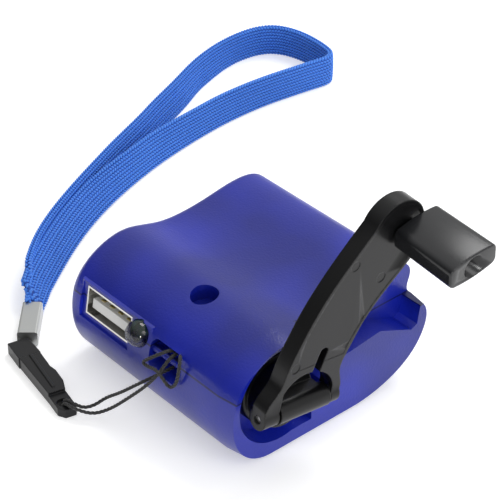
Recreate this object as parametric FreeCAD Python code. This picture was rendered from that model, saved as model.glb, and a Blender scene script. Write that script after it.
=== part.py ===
import FreeCAD, Part
import math
import os

from FreeCAD import Vector

# Hand crank phone charger. Millimetres, +Z up, the base flat lies on z = 0.
# +X is the crank side, -Y is the socket end, +Y is the rear.

# Body
BODY_WIDTH = 46.6
WALL = 1.6
PARTING_Z = 15.5
FRONT_Y = -24.2
REAR_Y = 23.4
CREST_Z = 23.5
VALLEY_Z = 21.4
FLAT_FRONT_Y = -15.0
FLAT_REAR_Y = 4.5
FAR_ROUND = 2.2
ROUND_SECTIONS = 5
NEAR_BEVEL_DEPTH = 4.1
NEAR_BEVEL_INSET = 0.6
LAP_GAP = 0.1
SEAM_GAP = 0.15

# Crank pocket and stowing channel in the near side
POCKET_RADIUS = 9.6
POCKET_DEPTH = 4.8
POCKET_REAR = 7.1
SHELF_Z = 14.6
SHELF_CREST_Y = 10.9
SHELF_END_Z = 11.0
LIP_WIDTH = 1.5

# Crank axis and hub
HUB_Y = -12.6
HUB_Z = 12.6
HUB_RADIUS = 6.9
HUB_DISC = 2.1
HUB_GAP = 0.4
FLANGE_RADIUS = 5.9
SHAFT_RADIUS = 2.0
BUSH_WALL = 0.7
RUNNING_GAP = 0.05

# Crank hinge
PIN_OUT = 3.5
PIN_RADIUS = 0.8
PIN_DIP = 8.0
KNUCKLE_RADIUS = 2.2
KNUCKLE_LENGTH = 11.4
KNUCKLE_SHIFT = 0.6
ARM_LEAN = 5.0
FORK_GAP = 0.3
EAR_LEFT = -8.8
EAR_RIGHT = 8.6

# Crank arm and knob, in the arm's own plane with the pin at the origin
ARM_THICKNESS = 3.2
ARM_LEFT_EDGE = [
    (-8.2, 3.6), (-6.3, 6.3), (-5.6, 9.0), (-4.1, 13.6), (-2.2, 18.2), (0.4, 23.0), (4.0, 28.3), (8.6, 34.2),
]
ARM_TIP = (13.8, 38.2)
ARM_RIGHT_EDGE = [
    (19.4, 35.0), (21.0, 31.4), (20.3, 27.4), (17.2, 23.1), (13.5, 18.9), (10.4, 14.2), (8.4, 9.4),
    (7.5, 6.4), (8.2, 3.6),
]
EAR_RADIUS = 2.0
EAR_SHOULDER = 2.2
THROAT_ARCH = [(-5.4, 5.0), (-1.6, 7.8), (4.4, 6.0), (6.6, 2.6)]
ARM_SLOT_FOOT = (0.9, 5.0)
ARM_SLOT_WIDTH = 1.9
ARM_SLOT_LENGTH = 7.4
ARM_SLOT_LEAN = 14.0
TRAY_INSET = 0.8
TRAY_DEPTH = 0.35
TRAY_LOW = 9.2
ARM_MARKS = [(5.5, 27.8), (12.6, 23.4), (-3.7, 9.9)]
ARM_MARK_RADIUS = 1.0
ARM_MARK_DEPTH = 0.2
KNOB_U = 17.9
KNOB_V = 32.5
KNOB_LENGTH = 13.5
KNOB_GAP = 0.4
KNOB_LONG = 10.6
KNOB_SHORT = 5.1
KNOB_DOME = 0.6
KNOB_CORNER = 1.3
KNOB_TAPER = 0.97
KNOB_TURN = 15.0
KNOB_BORE_RADIUS = 2.15
KNOB_BORE_DEPTH = 9.0
AXLE_RADIUS = 1.1
AXLE_HEAD_RADIUS = 1.9
AXLE_HEAD = 0.9

# Gear train
GEAR_MODULE = 0.6
DRIVE_TEETH = 24
WHEEL_TEETH = 23
PINION_TEETH = 9
BACKLASH = 0.16
MESH_GAP = 0.08
WHEEL_WIDTH = 1.8
PINION_WIDTH = 2.2
STAGE_STEP = 2.6
IDLER_RADIUS = 0.9
PLATE_THICKNESS = 1.2
PLATE_GAP = 0.3
FIRST_ANGLE = -18.0
SECOND_ANGLE = 14.0
THIRD_ANGLE = 6.0
PLATE_MARGIN = 3.2
PILLAR_RADIUS = 1.1
PILLAR_PAD = 0.4
FRONT_PILLAR = (-5.6, -7.1)
TOP_PILLAR = (6.2, 6.6)
REAR_PILLAR = (-3.4, -6.7)

# Generator
ROTOR_SHAFT_RADIUS = 0.75
MAGNET_RADIUS = 4.3
MAGNET_LENGTH = 7.0
AIR_GAP = 0.4
CORE_WIDTH = 5.6
CORE_WALL = 1.3
COIL_LENGTH = 7.0
COIL_RADIUS = 3.6
BOBBIN_CHEEK = 0.8
CORE_SETBACK = 1.2
RIB_WIDTH = 1.2
RIB_STEP = 1.0
BRACKET_REACH = 12.7
BRACKET_HALF = 3.0
BRACKET_FRONT = 9.0
BRACKET_DROP = 8.8
BRACKET_STRAP = 1.6
LEG_HALF = 1.4
BOBBIN_BORE_RADIUS = 2.9

# Socket and board, tilted together about the socket's mouth
USB_SHARE = 0.515
USB_Z = 14.9
USB_TILT = 10.0
USB_WIDTH = 13.1
USB_HEIGHT = 5.7
USB_DEPTH = 13.0
USB_SHEET = 0.35
USB_RECESS = 0.2
TONGUE_WIDTH = 11.1
TONGUE_THICKNESS = 1.9
TONGUE_REACH = 9.0
CONTACT_PITCH = 2.5
CONTACT_WIDTH = 1.0
CONTACT_SHEET = 0.2
BOARD_THICKNESS = 1.2
BOARD_LENGTH = 17.0
BOARD_EDGE_GAP = 2.3
CAN_RADIUS = 2.5
CAN_LENGTH = 5.2
CAN_GAP = 0.15
DIODE_START = 0.372
DIODE_PITCH = 0.1307
REGULATOR_START = 0.25
PANEL_EDGE_GAP = 3.0
PANEL_PAST_LAMP = 3.1
PANEL_LOW = 9.6
PANEL_TOP = 18.5
LED_STEP = 9.1
LED_RISE = 1.1
LED_RADIUS = 2.5
LED_GAP = 0.1
LED_LENGTH = 7.6
LED_PROUD = 2.7

# Strap lug and top hole
LUG_SHARE = 0.208
LUG_WIDTH = 8.3
LUG_LOW = 11.2
LUG_HIGH = 17.3
LUG_CORNER = 1.6
LUG_DEPTH = 4.8
LUG_BAR = 1.4
LUG_BAR_DEPTH = 1.8
TOP_HOLE_SHARE = 0.146
TOP_HOLE_Y = -13.2
TOP_HOLE_RADIUS = 2.6
TOP_HOLE_DEPTH = 3.0
TOP_HOLE_WALL = 0.9

# Case screws and bosses
SCREW_RADIUS = 0.9
SCREW_HEAD_RADIUS = 1.6
SCREW_HEAD = 1.2
SCREW_BITE = 4.6
CROSS_REACH = 1.2
CROSS_HALF = 0.2
CROSS_DEPTH = 0.6
BOSS_RADIUS = 1.9
BOSS_GAP = 0.4
BOSS_FAR_INSET = 4.3
BOSS_NEAR_INSET = 10.7
MIDDLE_BOSS_Y = -6.0
FAR_BOSS_Y = 0.5
FAR_REAR_BOSS_Y = 16.5
NEAR_REAR_BOSS_Y = 18.4
FLAT_SEAT = 1.4
FAR_REAR_SEAT = 5.3
NEAR_REAR_SEAT = 6.9
PILLAR_SCREW_RADIUS = 0.54
PILLAR_SCREW_BITE = 3.6
PILLAR_HEAD_RADIUS = 1.08
PILLAR_HEAD = 0.8

# Strap. The clip's own axes start at its tip, with s towards the strap.
CORD_RADIUS = 0.34
CLIP_TIP = (-8.44, -35.56)
CLIP_TURN = 167.3
CLIP_THICKNESS = 2.4
CLIP_TIP_THICKNESS = 1.8
CLIP_JOINT = 17.4
CLIP_END = 22.6
NOSE_OUTLINE = [(0.0, -1.5), (0.4, -1.8), (6.0, -1.75), (6.0, 1.6), (1.3, 1.55), (0.0, 0.5)]
CLIP_OUTLINE = [
    (5.3, -1.75), (7.6, -2.35), (11.0, -2.35), (12.6, -1.9), (CLIP_JOINT, -1.9), (CLIP_JOINT, 2.25),
    (7.2, 1.7), (5.3, 1.6),
]
COLLAR_OUTLINE = [(CLIP_JOINT, -2.0), (CLIP_END, -1.6), (CLIP_END, 2.5), (CLIP_JOINT, 2.4)]
CLIP_HOLE_RADIUS = 1.15
CLIP_HOLE_PLACE = 2.4
PRONG_LENGTH = 4.0
PRONG_HALF = 1.1
PRONG_LOW = 0.7
RIDGE_START = 6.6
RIDGE_HALF = 0.3
RIDGE_HEIGHT = 0.2
FERRULE_FRONT = (-30.5, -28.9)
FERRULE_TURN = 138.6
FERRULE_LENGTH = 9.8
FERRULE_WIDTH = 3.9
FERRULE_HEIGHT = 3.3
FERRULE_SHEET = 0.4
RIBBON_WIDTH = 7.5
RIBBON_THICKNESS = 1.3
RIBBON_LIFT = 0.1
ROUTE_SHARE = 0.45

# The thin cord, from the clip's hole round the lug's bar and back to the hole
CORD_ROUTE = [
    (-10.5, -35.3, 0.6), (-10.45, -35.3, 2.5), (-7.5, -35.15, 2.5), (-4.67, -33.05, 1.7), (-2.47, -30.65, 3.0),
    (1.0, -29.3, 6.8), (4.2, -27.4, 10.6), (6.2, -25.8, 14.0), (6.5, -23.6, 16.4), (6.4, -20.6, 16.4),
    (5.2, -20.6, 12.6), (4.9, -24.9, 12.4), (2.6, -27.6, 10.4), (-1.35, -29.15, 6.6), (-4.7, -29.7, 3.9),
    (-5.95, -31.5, 2.2), (-6.5, -33.5, 2.3), (-8.5, -34.25, 2.5), (-11.05, -34.7, 2.5), (-11.08, -34.75, 0.6),
]

# The flat ribbon's loop on the table, from the ferrule out and back to it
RIBBON_ROUTE = [
    (-38.41, -22.94), (-44.6, -17.6), (-52.6, -8.6), (-60.6, 5.0), (-70.8, 26.0), (-81.2, 46.6),
    (-88.2, 63.0), (-90.0, 75.0), (-88.2, 82.8), (-81.8, 86.0), (-73.0, 86.0), (-67.0, 84.4), (-68.2, 77.0),
    (-69.9, 63.0), (-68.8, 46.0), (-63.8, 24.0), (-55.6, 4.4), (-44.6, -12.6), (-37.51, -21.67),
]

# Sizes that follow
HALF_WIDTH = BODY_WIDTH / 2
POCKET_FLOOR = HALF_WIDTH - POCKET_DEPTH
NEAR_INSIDE = POCKET_FLOOR - WALL
BEVEL_START = HALF_WIDTH - NEAR_BEVEL_DEPTH
PIN_X = HALF_WIDTH + PIN_OUT
OUTER_PLATE_X = NEAR_INSIDE - PLATE_THICKNESS - 0.1
DRIVE_X = OUTER_PLATE_X - PLATE_GAP - PINION_WIDTH
FIRST_WHEEL_X = DRIVE_X - STAGE_STEP
SECOND_WHEEL_X = FIRST_WHEEL_X - STAGE_STEP
INNER_PLATE_X = SECOND_WHEEL_X - STAGE_STEP - PLATE_THICKNESS
BRACKET_X = INNER_PLATE_X - BRACKET_REACH
CORE_X = BRACKET_X + PLATE_THICKNESS + CORE_SETBACK + (MAGNET_LENGTH - CORE_WIDTH) / 2
USB_X = -HALF_WIDTH * USB_SHARE
LED_X = USB_X + LED_STEP
LED_Z = USB_Z + LED_RISE
PANEL_LEFT = -HALF_WIDTH + PANEL_EDGE_GAP
PANEL_RIGHT = LED_X + PANEL_PAST_LAMP
LUG_X = HALF_WIDTH * LUG_SHARE
TOP_HOLE_X = HALF_WIDTH * TOP_HOLE_SHARE
MIDDLE_BOSS_X = INNER_PLATE_X - PILLAR_HEAD - 0.2 - BOSS_RADIUS
BOARD_LEFT = -HALF_WIDTH + BOARD_EDGE_GAP
BOARD_RIGHT = MIDDLE_BOSS_X - BOSS_RADIUS - BOSS_GAP
BIG = 100.0

X_AXIS = Vector(1, 0, 0)
Y_AXIS = Vector(0, 1, 0)
Z_AXIS = Vector(0, 0, 1)


def box(x0, x1, y0, y1, z0, z1):
    """A box between two corners."""
    return Part.makeBox(x1 - x0, y1 - y0, z1 - z0, Vector(x0, y0, z0))


def rod_x(x0, x1, y, z, radius):
    """A round bar along X."""
    return Part.makeCylinder(radius, x1 - x0, Vector(x0, y, z), X_AXIS)


def fuse(first, *others):
    """One solid from several that touch, without leftover seams."""
    return first.multiFuse(list(others)).removeSplitter()


def prism(points, x0, x1):
    """A solid with straight sides between two X planes, from (y, z) points."""
    wire = Part.makePolygon([Vector(x0, y, z) for y, z in points + points[:1]])
    return Part.Face(wire).extrude(Vector(x1 - x0, 0, 0))


# The side profile: one curve over the top and one under each end of the base flat
def profile_curves():
    """The three curves and the flat of the side profile, as (curve, start, end) in the YZ plane."""
    top = [
        (FRONT_Y + 0.7, PARTING_Z), (FRONT_Y + 2.0, PARTING_Z + 2.5), (FRONT_Y + 4.7, PARTING_Z + 5.2),
        (HUB_Y - 2.8, CREST_Z - 0.7), (HUB_Y + 1.4, CREST_Z), (HUB_Y + 5.6, CREST_Z - 0.8),
        (-2.6, VALLEY_Z + 0.2), (3.0, VALLEY_Z), (9.0, VALLEY_Z + 0.7), (14.5, VALLEY_Z + 1.6),
        (REAR_Y - 5.2, VALLEY_Z + 1.7), (REAR_Y - 1.9, VALLEY_Z + 0.6), (REAR_Y - 0.5, VALLEY_Z - 1.9),
        (REAR_Y - 1.0, PARTING_Z + 2.2), (REAR_Y - 0.9, PARTING_Z),
    ]
    rear = [
        (REAR_Y - 0.9, PARTING_Z), (REAR_Y, 12.8), (REAR_Y - 0.7, 9.4), (REAR_Y - 3.0, 5.8),
        (REAR_Y - 7.0, 2.8), (REAR_Y - 12.6, 0.75), (FLAT_REAR_Y + 2.6, 0.12), (FLAT_REAR_Y, 0.0),
    ]
    front = [
        (FLAT_FRONT_Y, 0.0), (FLAT_FRONT_Y - 1.4, 0.12), (FRONT_Y + 3.6, 2.0), (FRONT_Y + 0.8, 6.0),
        (FRONT_Y, 10.6), (FRONT_Y + 0.7, PARTING_Z),
    ]
    curves = []
    for points in (top, rear, front):
        curve = Part.BSplineCurve()
        curve.interpolate(Points=[Vector(0, y, z) for y, z in points])
        curves.append(curve)
    return curves


PROFILE_SAMPLES = (34, 16, 12)


def profile_wire(x, inset):
    """The side profile at one X plane, moved inwards by a distance."""
    edges = []
    corners = []
    for curve, samples in zip(profile_curves(), PROFILE_SAMPLES):
        first, last = curve.FirstParameter, curve.LastParameter
        points = []
        for step in range(samples + 1):
            t = first + (last - first) * step / samples
            tangent = curve.tangent(t)[0]
            inward = Vector(0, tangent.z, -tangent.y)
            points.append(curve.value(t) + inward * inset + Vector(x, 0, 0))
        corners.append(points)
    top, rear, front = corners
    rear[0] = top[-1]
    front[-1] = top[0]
    for points in (top, rear, front):
        curve = Part.BSplineCurve()
        curve.interpolate(Points=points)
        edges.append(curve.toShape())
    edges.insert(2, Part.makeLine(rear[-1], front[0]))
    return Part.Wire(edges)


def profile_block(x0, x1, inset):
    """The side profile drawn out along X."""
    return Part.Face(profile_wire(x0, inset)).extrude(Vector(x1 - x0, 0, 0))


def body_outside():
    """The whole body's outer form: rounded on the far side, bevelled on the near side."""
    block = profile_block(-HALF_WIDTH + FAR_ROUND, BEVEL_START, 0.0)
    rounded = []
    for step in range(ROUND_SECTIONS):
        angle = math.radians(90.0 * step / (ROUND_SECTIONS - 1))
        x = -HALF_WIDTH + FAR_ROUND * (1 - math.sin(angle))
        rounded.append(profile_wire(x, FAR_ROUND * (1 - math.cos(angle))))
    far_side = Part.makeLoft(rounded, True, False)
    bevel = Part.makeLoft(
        [profile_wire(BEVEL_START, 0.0), profile_wire(HALF_WIDTH, NEAR_BEVEL_INSET)], True, True
    )
    return fuse(block, far_side, bevel, socket_panel())


def socket_panel():
    """The flat panel round the socket, which leans back with it."""
    lean = math.tan(math.radians(USB_TILT))
    front_low = FRONT_Y + 0.1
    front_high = front_low + (PANEL_TOP - PANEL_LOW) * lean
    back = FRONT_Y + 7
    points = [(front_low, PANEL_LOW), (front_high, PANEL_TOP), (back, PANEL_TOP), (back, PANEL_LOW)]
    panel = prism(points, PANEL_LEFT, PANEL_RIGHT)
    corners = [edge for edge in panel.Edges if edge.BoundBox.XLength < 0.01 and edge.BoundBox.YMax < back - 4]
    return panel.makeFillet(0.5, corners)


def channel():
    """The space cut in the near side for the hub and the stowed arm."""
    shelf_start_z = SHELF_Z - 1.0
    pocket = rod_x(POCKET_FLOOR, BIG, HUB_Y, HUB_Z, POCKET_RADIUS)
    corner = box(POCKET_FLOOR, BIG, HUB_Y, HUB_Y + POCKET_REAR, HUB_Z - POCKET_RADIUS + 0.3, PARTING_Z + 2)
    lip_y = REAR_Y - 0.9 - LIP_WIDTH
    points = [
        (HUB_Y + POCKET_REAR - 0.5, HUB_Z - 3.2), (HUB_Y + POCKET_REAR, HUB_Z - 3.0), (2.6, shelf_start_z),
        (SHELF_CREST_Y, SHELF_Z), (lip_y - 2.0, SHELF_END_Z), (lip_y - 0.6, SHELF_END_Z + 0.6),
        (lip_y, PARTING_Z), (REAR_Y + 5, PARTING_Z), (REAR_Y + 5, CREST_Z + 5),
        (HUB_Y + POCKET_REAR - 0.5, CREST_Z + 5),
    ]
    return pocket.multiFuse([corner, prism(points, POCKET_FLOOR, BIG)])


def body_inside():
    """The hollow inside both shells, with the step behind the raised near side."""
    main = profile_block(-HALF_WIDTH + WALL, NEAR_INSIDE, WALL)
    wing = profile_block(NEAR_INSIDE, HALF_WIDTH - WALL, WALL + NEAR_BEVEL_INSET)
    kept = [
        rod_x(NEAR_INSIDE, HALF_WIDTH, HUB_Y, HUB_Z, POCKET_RADIUS + WALL),
        box(NEAR_INSIDE, HALF_WIDTH, FRONT_Y, HUB_Y + POCKET_REAR + WALL, 0, CREST_Z),
        prism(
            [
                (HUB_Y + POCKET_REAR, HUB_Z - 3.2 - WALL), (2.6, SHELF_Z - 1.0 - WALL),
                (SHELF_CREST_Y, SHELF_Z - WALL), (REAR_Y - 5.0, SHELF_END_Z - WALL),
                (REAR_Y, SHELF_END_Z - WALL), (REAR_Y, CREST_Z), (HUB_Y + POCKET_REAR, CREST_Z),
            ],
            NEAR_INSIDE, HALF_WIDTH,
        ),
    ]
    return main.fuse(wing.cut(kept[0].multiFuse(kept[1:])))


def tilt(shape):
    """Lean a piece of the socket group back about the middle of the socket's mouth."""
    leaned = shape.copy()
    leaned.rotate(Vector(USB_X, mouth_y(), USB_Z), X_AXIS, -USB_TILT)
    return leaned


def mouth_y():
    """Y of the socket's mouth, set back from the panel."""
    lean = math.tan(math.radians(USB_TILT))
    return FRONT_Y + 0.1 + (USB_Z - PANEL_LOW) * lean + USB_RECESS


def led_front():
    """Y of the lamp's base plane, where its dome leaves the panel."""
    return mouth_y() - USB_RECESS


def front_openings():
    """The socket's recess and hole, the lamp's hole and the lug's pocket."""
    y0 = mouth_y()
    half_w = USB_WIDTH / 2 + LED_GAP
    half_h = USB_HEIGHT / 2 + LED_GAP
    left = USB_X - half_w
    right = USB_X + half_w
    recess = tilt(box(left - 1.0, right, y0 - 8, y0, USB_Z - half_h - 0.8, USB_Z + half_h + 0.4))
    hole = tilt(box(left, right, y0 - 8, y0 + 6, USB_Z - half_h, USB_Z + half_h))
    lamp = tilt(Part.makeCylinder(LED_RADIUS + LED_GAP, 16, Vector(LED_X, y0 - 8, LED_Z), Y_AXIS))
    half_lug = LUG_WIDTH / 2
    pocket = box(LUG_X - half_lug, LUG_X + half_lug, FRONT_Y - 5, FRONT_Y + LUG_DEPTH, LUG_LOW, LUG_HIGH)
    rims = [edge for edge in pocket.Edges if edge.BoundBox.YLength > LUG_DEPTH]
    pocket = pocket.makeFillet(LUG_CORNER, rims)
    return [recess, hole, lamp, pocket]


def lug_liner():
    """The wall that closes the lug's pocket off from the inside."""
    return box(
        LUG_X - LUG_WIDTH / 2 - WALL / 2, LUG_X + LUG_WIDTH / 2 + WALL / 2, FRONT_Y + 1.0,
        FRONT_Y + LUG_DEPTH + WALL / 2, LUG_LOW - WALL / 2, LUG_HIGH + WALL / 2,
    )


def lug_bar():
    """The bar across the lug's pocket that the strap's cord goes round."""
    radius = LUG_BAR / 2
    start = Vector(LUG_X - LUG_WIDTH / 2 - WALL / 2, FRONT_Y + LUG_BAR_DEPTH, PARTING_Z - radius - SEAM_GAP)
    return Part.makeCylinder(radius, LUG_WIDTH + WALL, start, X_AXIS)


def boss_places():
    """Where the four case screws stand, as (x, y, height of the head's seat)."""
    far_x = -HALF_WIDTH + BOSS_FAR_INSET
    return [
        (far_x, FAR_BOSS_Y, FLAT_SEAT), (far_x, FAR_REAR_BOSS_Y, FAR_REAR_SEAT),
        (HALF_WIDTH - BOSS_NEAR_INSET, NEAR_REAR_BOSS_Y, NEAR_REAR_SEAT),
        (MIDDLE_BOSS_X, MIDDLE_BOSS_Y, FLAT_SEAT),
    ]


def shells():
    """The bottom and top shells."""
    outside = body_outside()
    inside = body_inside()
    space = channel()
    openings = front_openings()
    liner = lug_liner()
    hollow = inside.cut(liner)
    lower = box(-BIG, BIG, -BIG, BIG, -BIG, PARTING_Z)
    upper = box(-BIG, BIG, -BIG, BIG, PARTING_Z, BIG)
    bottom = outside.common(lower).cut(hollow)
    top = outside.common(upper).cut(hollow)
    lower_bosses = []
    upper_bosses = []
    screw_space = []
    for x, y, seat in boss_places():
        lower_bosses.append(Part.makeCylinder(BOSS_RADIUS, BIG, Vector(x, y, 0.0), Z_AXIS))
        upper_bosses.append(Part.makeCylinder(BOSS_RADIUS, BIG, Vector(x, y, PARTING_Z), Z_AXIS))
        screw_space.append(Part.makeCylinder(SCREW_HEAD_RADIUS + 0.15, seat + 5, Vector(x, y, -5), Z_AXIS))
        screw_space.append(
            Part.makeCylinder(SCREW_RADIUS + RUNNING_GAP, PARTING_Z + SCREW_BITE + 0.9, Vector(x, y, 0))
        )
    filled = Part.makeCompound(lower_bosses).common(outside.common(lower))
    bottom = bottom.fuse(filled)
    filled = Part.makeCompound(upper_bosses).common(outside.common(upper))
    top = top.fuse(filled)
    bush_hole = rod_x(NEAR_INSIDE - 1, POCKET_FLOOR + 1, HUB_Y, HUB_Z, SHAFT_RADIUS + BUSH_WALL)
    bottom = bottom.cut(openings[0].multiFuse(openings[1:] + screw_space + [space, bush_hole]))
    bottom = bottom.multiFuse([lug_bar().common(lower)] + [piece.common(outside) for piece in cradles()])
    cup = Part.makeCylinder(
        TOP_HOLE_RADIUS + TOP_HOLE_WALL, BIG,
        Vector(TOP_HOLE_X, TOP_HOLE_Y, hole_floor() - TOP_HOLE_WALL), Z_AXIS,
    )
    top = top.fuse(cup.common(outside))
    cup_hole = Part.makeCylinder(TOP_HOLE_RADIUS, BIG, Vector(TOP_HOLE_X, TOP_HOLE_Y, hole_floor()), Z_AXIS)
    top = top.cut(openings[0].multiFuse(openings[1:] + screw_space + [space, cup_hole]))
    lap = profile_band(WALL * 0.5 + LAP_GAP, WALL, PARTING_Z - 1.2, PARTING_Z)
    keep_clear = openings[0].multiFuse(openings[1:] + [liner, space])
    top = top.fuse(lap.cut(keep_clear))
    groove = profile_band(WALL * 0.5, WALL + 1, PARTING_Z - 1.3, PARTING_Z)
    bottom = bottom.cut(groove.cut(liner).cut(keep_clear))
    return largest(bottom), largest(top)


def cradles():
    """The ribs and posts on the floor under the board and the generator's core."""
    y, z = AXIS_ROTOR
    core_low = z - MAGNET_RADIUS - AIR_GAP - CORE_WALL
    ribs = []
    for x in (CORE_X + RIB_STEP, CORE_X + CORE_WIDTH - RIB_STEP - RIB_WIDTH):
        ribs.append(box(x, x + RIB_WIDTH, y - 3.2, y + 0.8, WALL / 2, core_low - SEAM_GAP))
    underside = board_underside()
    for x, post_y in ((BOARD_LEFT + 2.0, -15.0), (BOARD_RIGHT - 2.0, -15.0), (BOARD_LEFT + 6.0, -7.0)):
        post = Part.makeCylinder(1.2, PARTING_Z, Vector(x, post_y, WALL / 2), Z_AXIS)
        ribs.append(post.cut(underside))
    return ribs


def board_underside():
    """The space from just under the leaning board upwards."""
    low = USB_Z - USB_HEIGHT / 2 - BOARD_THICKNESS - SEAM_GAP
    return tilt(box(-BIG, BIG, -BIG, BIG, low, BIG))


def hole_floor():
    """Height of the floor of the round hole in the top."""
    return CREST_Z - 0.1 - TOP_HOLE_DEPTH


def profile_band(outer, inner, z0, z1):
    """A low wall that follows the inside of the case on the far, front and rear sides."""
    ring = profile_block(-HALF_WIDTH + outer, NEAR_INSIDE - 4, outer)
    ring = ring.cut(profile_block(-HALF_WIDTH + inner, NEAR_INSIDE + 1, inner))
    return ring.common(box(-BIG, BIG, -BIG, BIG, z0, z1))


def largest(shape):
    """The biggest solid of a result."""
    return max(shape.removeSplitter().Solids, key=lambda solid: solid.Volume)


# Gears
def gear(teeth, x0, x1, y, z, turn, bore):
    """A spur gear with involute flanks, turned by an angle in degrees about its axis."""
    pitch_radius = GEAR_MODULE * teeth / 2
    base_radius = pitch_radius * math.cos(math.radians(20))
    tip_radius = pitch_radius + 0.85 * GEAR_MODULE
    root_radius = pitch_radius - 1.15 * GEAR_MODULE
    half_tooth = (math.pi * GEAR_MODULE / 2 - BACKLASH) / 2 / pitch_radius
    pitch_inv = involute(pitch_radius, base_radius)
    flank_start = max(base_radius, root_radius + 0.05)
    flank = []
    for step in range(4):
        radius = flank_start + (tip_radius - flank_start) * step / 3
        flank.append((radius, half_tooth + pitch_inv - involute(radius, base_radius)))
    points = []
    for tooth in range(teeth):
        centre = math.radians(turn) + 2 * math.pi * tooth / teeth
        root_half = flank[0][1] + 0.02
        outline = [(root_radius, -root_half)]
        outline += [(radius, -half) for radius, half in flank]
        outline += [(radius, half) for radius, half in reversed(flank)]
        outline += [(root_radius, root_half)]
        for radius, angle in outline:
            points.append((y + radius * math.cos(centre + angle), z + radius * math.sin(centre + angle)))
    return prism(points, x0, x1).cut(rod_x(x0 - 1, x1 + 1, y, z, bore))


def involute(radius, base_radius):
    """The involute angle at a radius, in radians."""
    pressure = math.acos(min(1.0, base_radius / radius))
    return math.tan(pressure) - pressure


def mesh_distance(teeth_a, teeth_b):
    """Distance between the axes of two gears in mesh."""
    return GEAR_MODULE * (teeth_a + teeth_b) / 2 + MESH_GAP


def step_from(place, distance, degrees):
    """A point at a distance and angle from another, in the YZ plane."""
    angle = math.radians(degrees)
    return place[0] + distance * math.cos(angle), place[1] + distance * math.sin(angle)


def mating_turn(driver_teeth, driver_turn, driven_teeth, direction):
    """Turn of a gear that puts one of its gaps on the driver's tooth along the line of centres."""
    driver_pitch = 360.0 / driver_teeth
    phase = ((direction - driver_turn) / driver_pitch) % 1.0
    driven_pitch = 360.0 / driven_teeth
    return direction + 180.0 + driven_pitch * (0.5 + phase)


AXIS_DRIVE = (HUB_Y, HUB_Z)
AXIS_FIRST = step_from(AXIS_DRIVE, mesh_distance(DRIVE_TEETH, PINION_TEETH), FIRST_ANGLE)
AXIS_SECOND = step_from(AXIS_FIRST, mesh_distance(WHEEL_TEETH, PINION_TEETH), SECOND_ANGLE)
AXIS_ROTOR = step_from(AXIS_SECOND, mesh_distance(WHEEL_TEETH, PINION_TEETH), THIRD_ANGLE)


def gear_train():
    """The drive gear, two stepped idlers with their pins, and the generator's pinion."""
    nodes = {}
    bore = SHAFT_RADIUS
    nodes["drive_gear"] = gear(DRIVE_TEETH, DRIVE_X, DRIVE_X + PINION_WIDTH, *AXIS_DRIVE, 0.0, bore)
    first_turn = mating_turn(DRIVE_TEETH, 0.0, PINION_TEETH, FIRST_ANGLE)
    pin_bore = IDLER_RADIUS + RUNNING_GAP
    nodes["first_idler"] = stepped_gear(AXIS_FIRST, DRIVE_X, FIRST_WHEEL_X, first_turn, pin_bore)
    second_turn = mating_turn(WHEEL_TEETH, 0.0, PINION_TEETH, SECOND_ANGLE)
    nodes["second_idler"] = stepped_gear(AXIS_SECOND, FIRST_WHEEL_X, SECOND_WHEEL_X, second_turn, pin_bore)
    rotor_turn = mating_turn(WHEEL_TEETH, 0.0, PINION_TEETH, THIRD_ANGLE)
    nodes["rotor_pinion"] = gear(
        PINION_TEETH, SECOND_WHEEL_X - 0.1, SECOND_WHEEL_X + PINION_WIDTH - 0.2, *AXIS_ROTOR, rotor_turn,
        ROTOR_SHAFT_RADIUS,
    )
    for name, axis in (("first_idler_pin", AXIS_FIRST), ("second_idler_pin", AXIS_SECOND)):
        nodes[name] = rod_x(INNER_PLATE_X, OUTER_PLATE_X + PLATE_THICKNESS, *axis, IDLER_RADIUS)
    return nodes


def stepped_gear(axis, pinion_x, wheel_x, pinion_turn, bore):
    """A wheel and a smaller pinion moulded as one idler."""
    pinion = gear(PINION_TEETH, pinion_x - 0.2, pinion_x + PINION_WIDTH, *axis, pinion_turn, bore)
    wheel = gear(WHEEL_TEETH, wheel_x, wheel_x + WHEEL_WIDTH, *axis, 0.0, bore)
    neck = rod_x(wheel_x, pinion_x, *axis, bore + 0.7).cut(rod_x(wheel_x - 1, pinion_x + 1, *axis, bore))
    return fuse(wheel, neck, pinion)


def pillar_places():
    """Where the three pillars between the gearbox plates stand, as (y, z)."""
    front_y, front_z = FRONT_PILLAR
    top_y, top_z = TOP_PILLAR
    rear_y, rear_z = REAR_PILLAR
    return [
        (HUB_Y + front_y, HUB_Z + front_z), (HUB_Y + top_y, HUB_Z + top_z),
        (AXIS_ROTOR[0] + rear_y, HUB_Z + rear_z),
    ]


def gearbox_plate(x0, bores):
    """A gearbox plate with the holes for its shafts, pins and pillar screws."""
    discs = [rod_x(x0, x0 + PLATE_THICKNESS, y, z, PILLAR_RADIUS + PILLAR_PAD) for y, z in pillar_places()]
    discs.append(rod_x(x0, x0 + PLATE_THICKNESS, *AXIS_ROTOR, PLATE_MARGIN))
    discs.append(rod_x(x0, x0 + PLATE_THICKNESS, *AXIS_DRIVE, PLATE_MARGIN + 1.2))
    spine = [
        (HUB_Y - 6.4, HUB_Z - 7.6), (AXIS_ROTOR[0] - 2.6, HUB_Z - 7.6), (AXIS_ROTOR[0] + 2.6, AXIS_ROTOR[1]),
        (HUB_Y + 8.0, HUB_Z + 6.6), (HUB_Y + 5.4, HUB_Z + 7.2), (HUB_Y - 3.6, HUB_Z + 3.0),
    ]
    plate = prism(spine, x0, x0 + PLATE_THICKNESS).multiFuse(discs)
    holes = [rod_x(x0 - 1, x0 + PLATE_THICKNESS + 1, y, z, radius) for (y, z), radius in bores]
    return plate.cut(holes[0].multiFuse(holes[1:])).removeSplitter()


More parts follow.
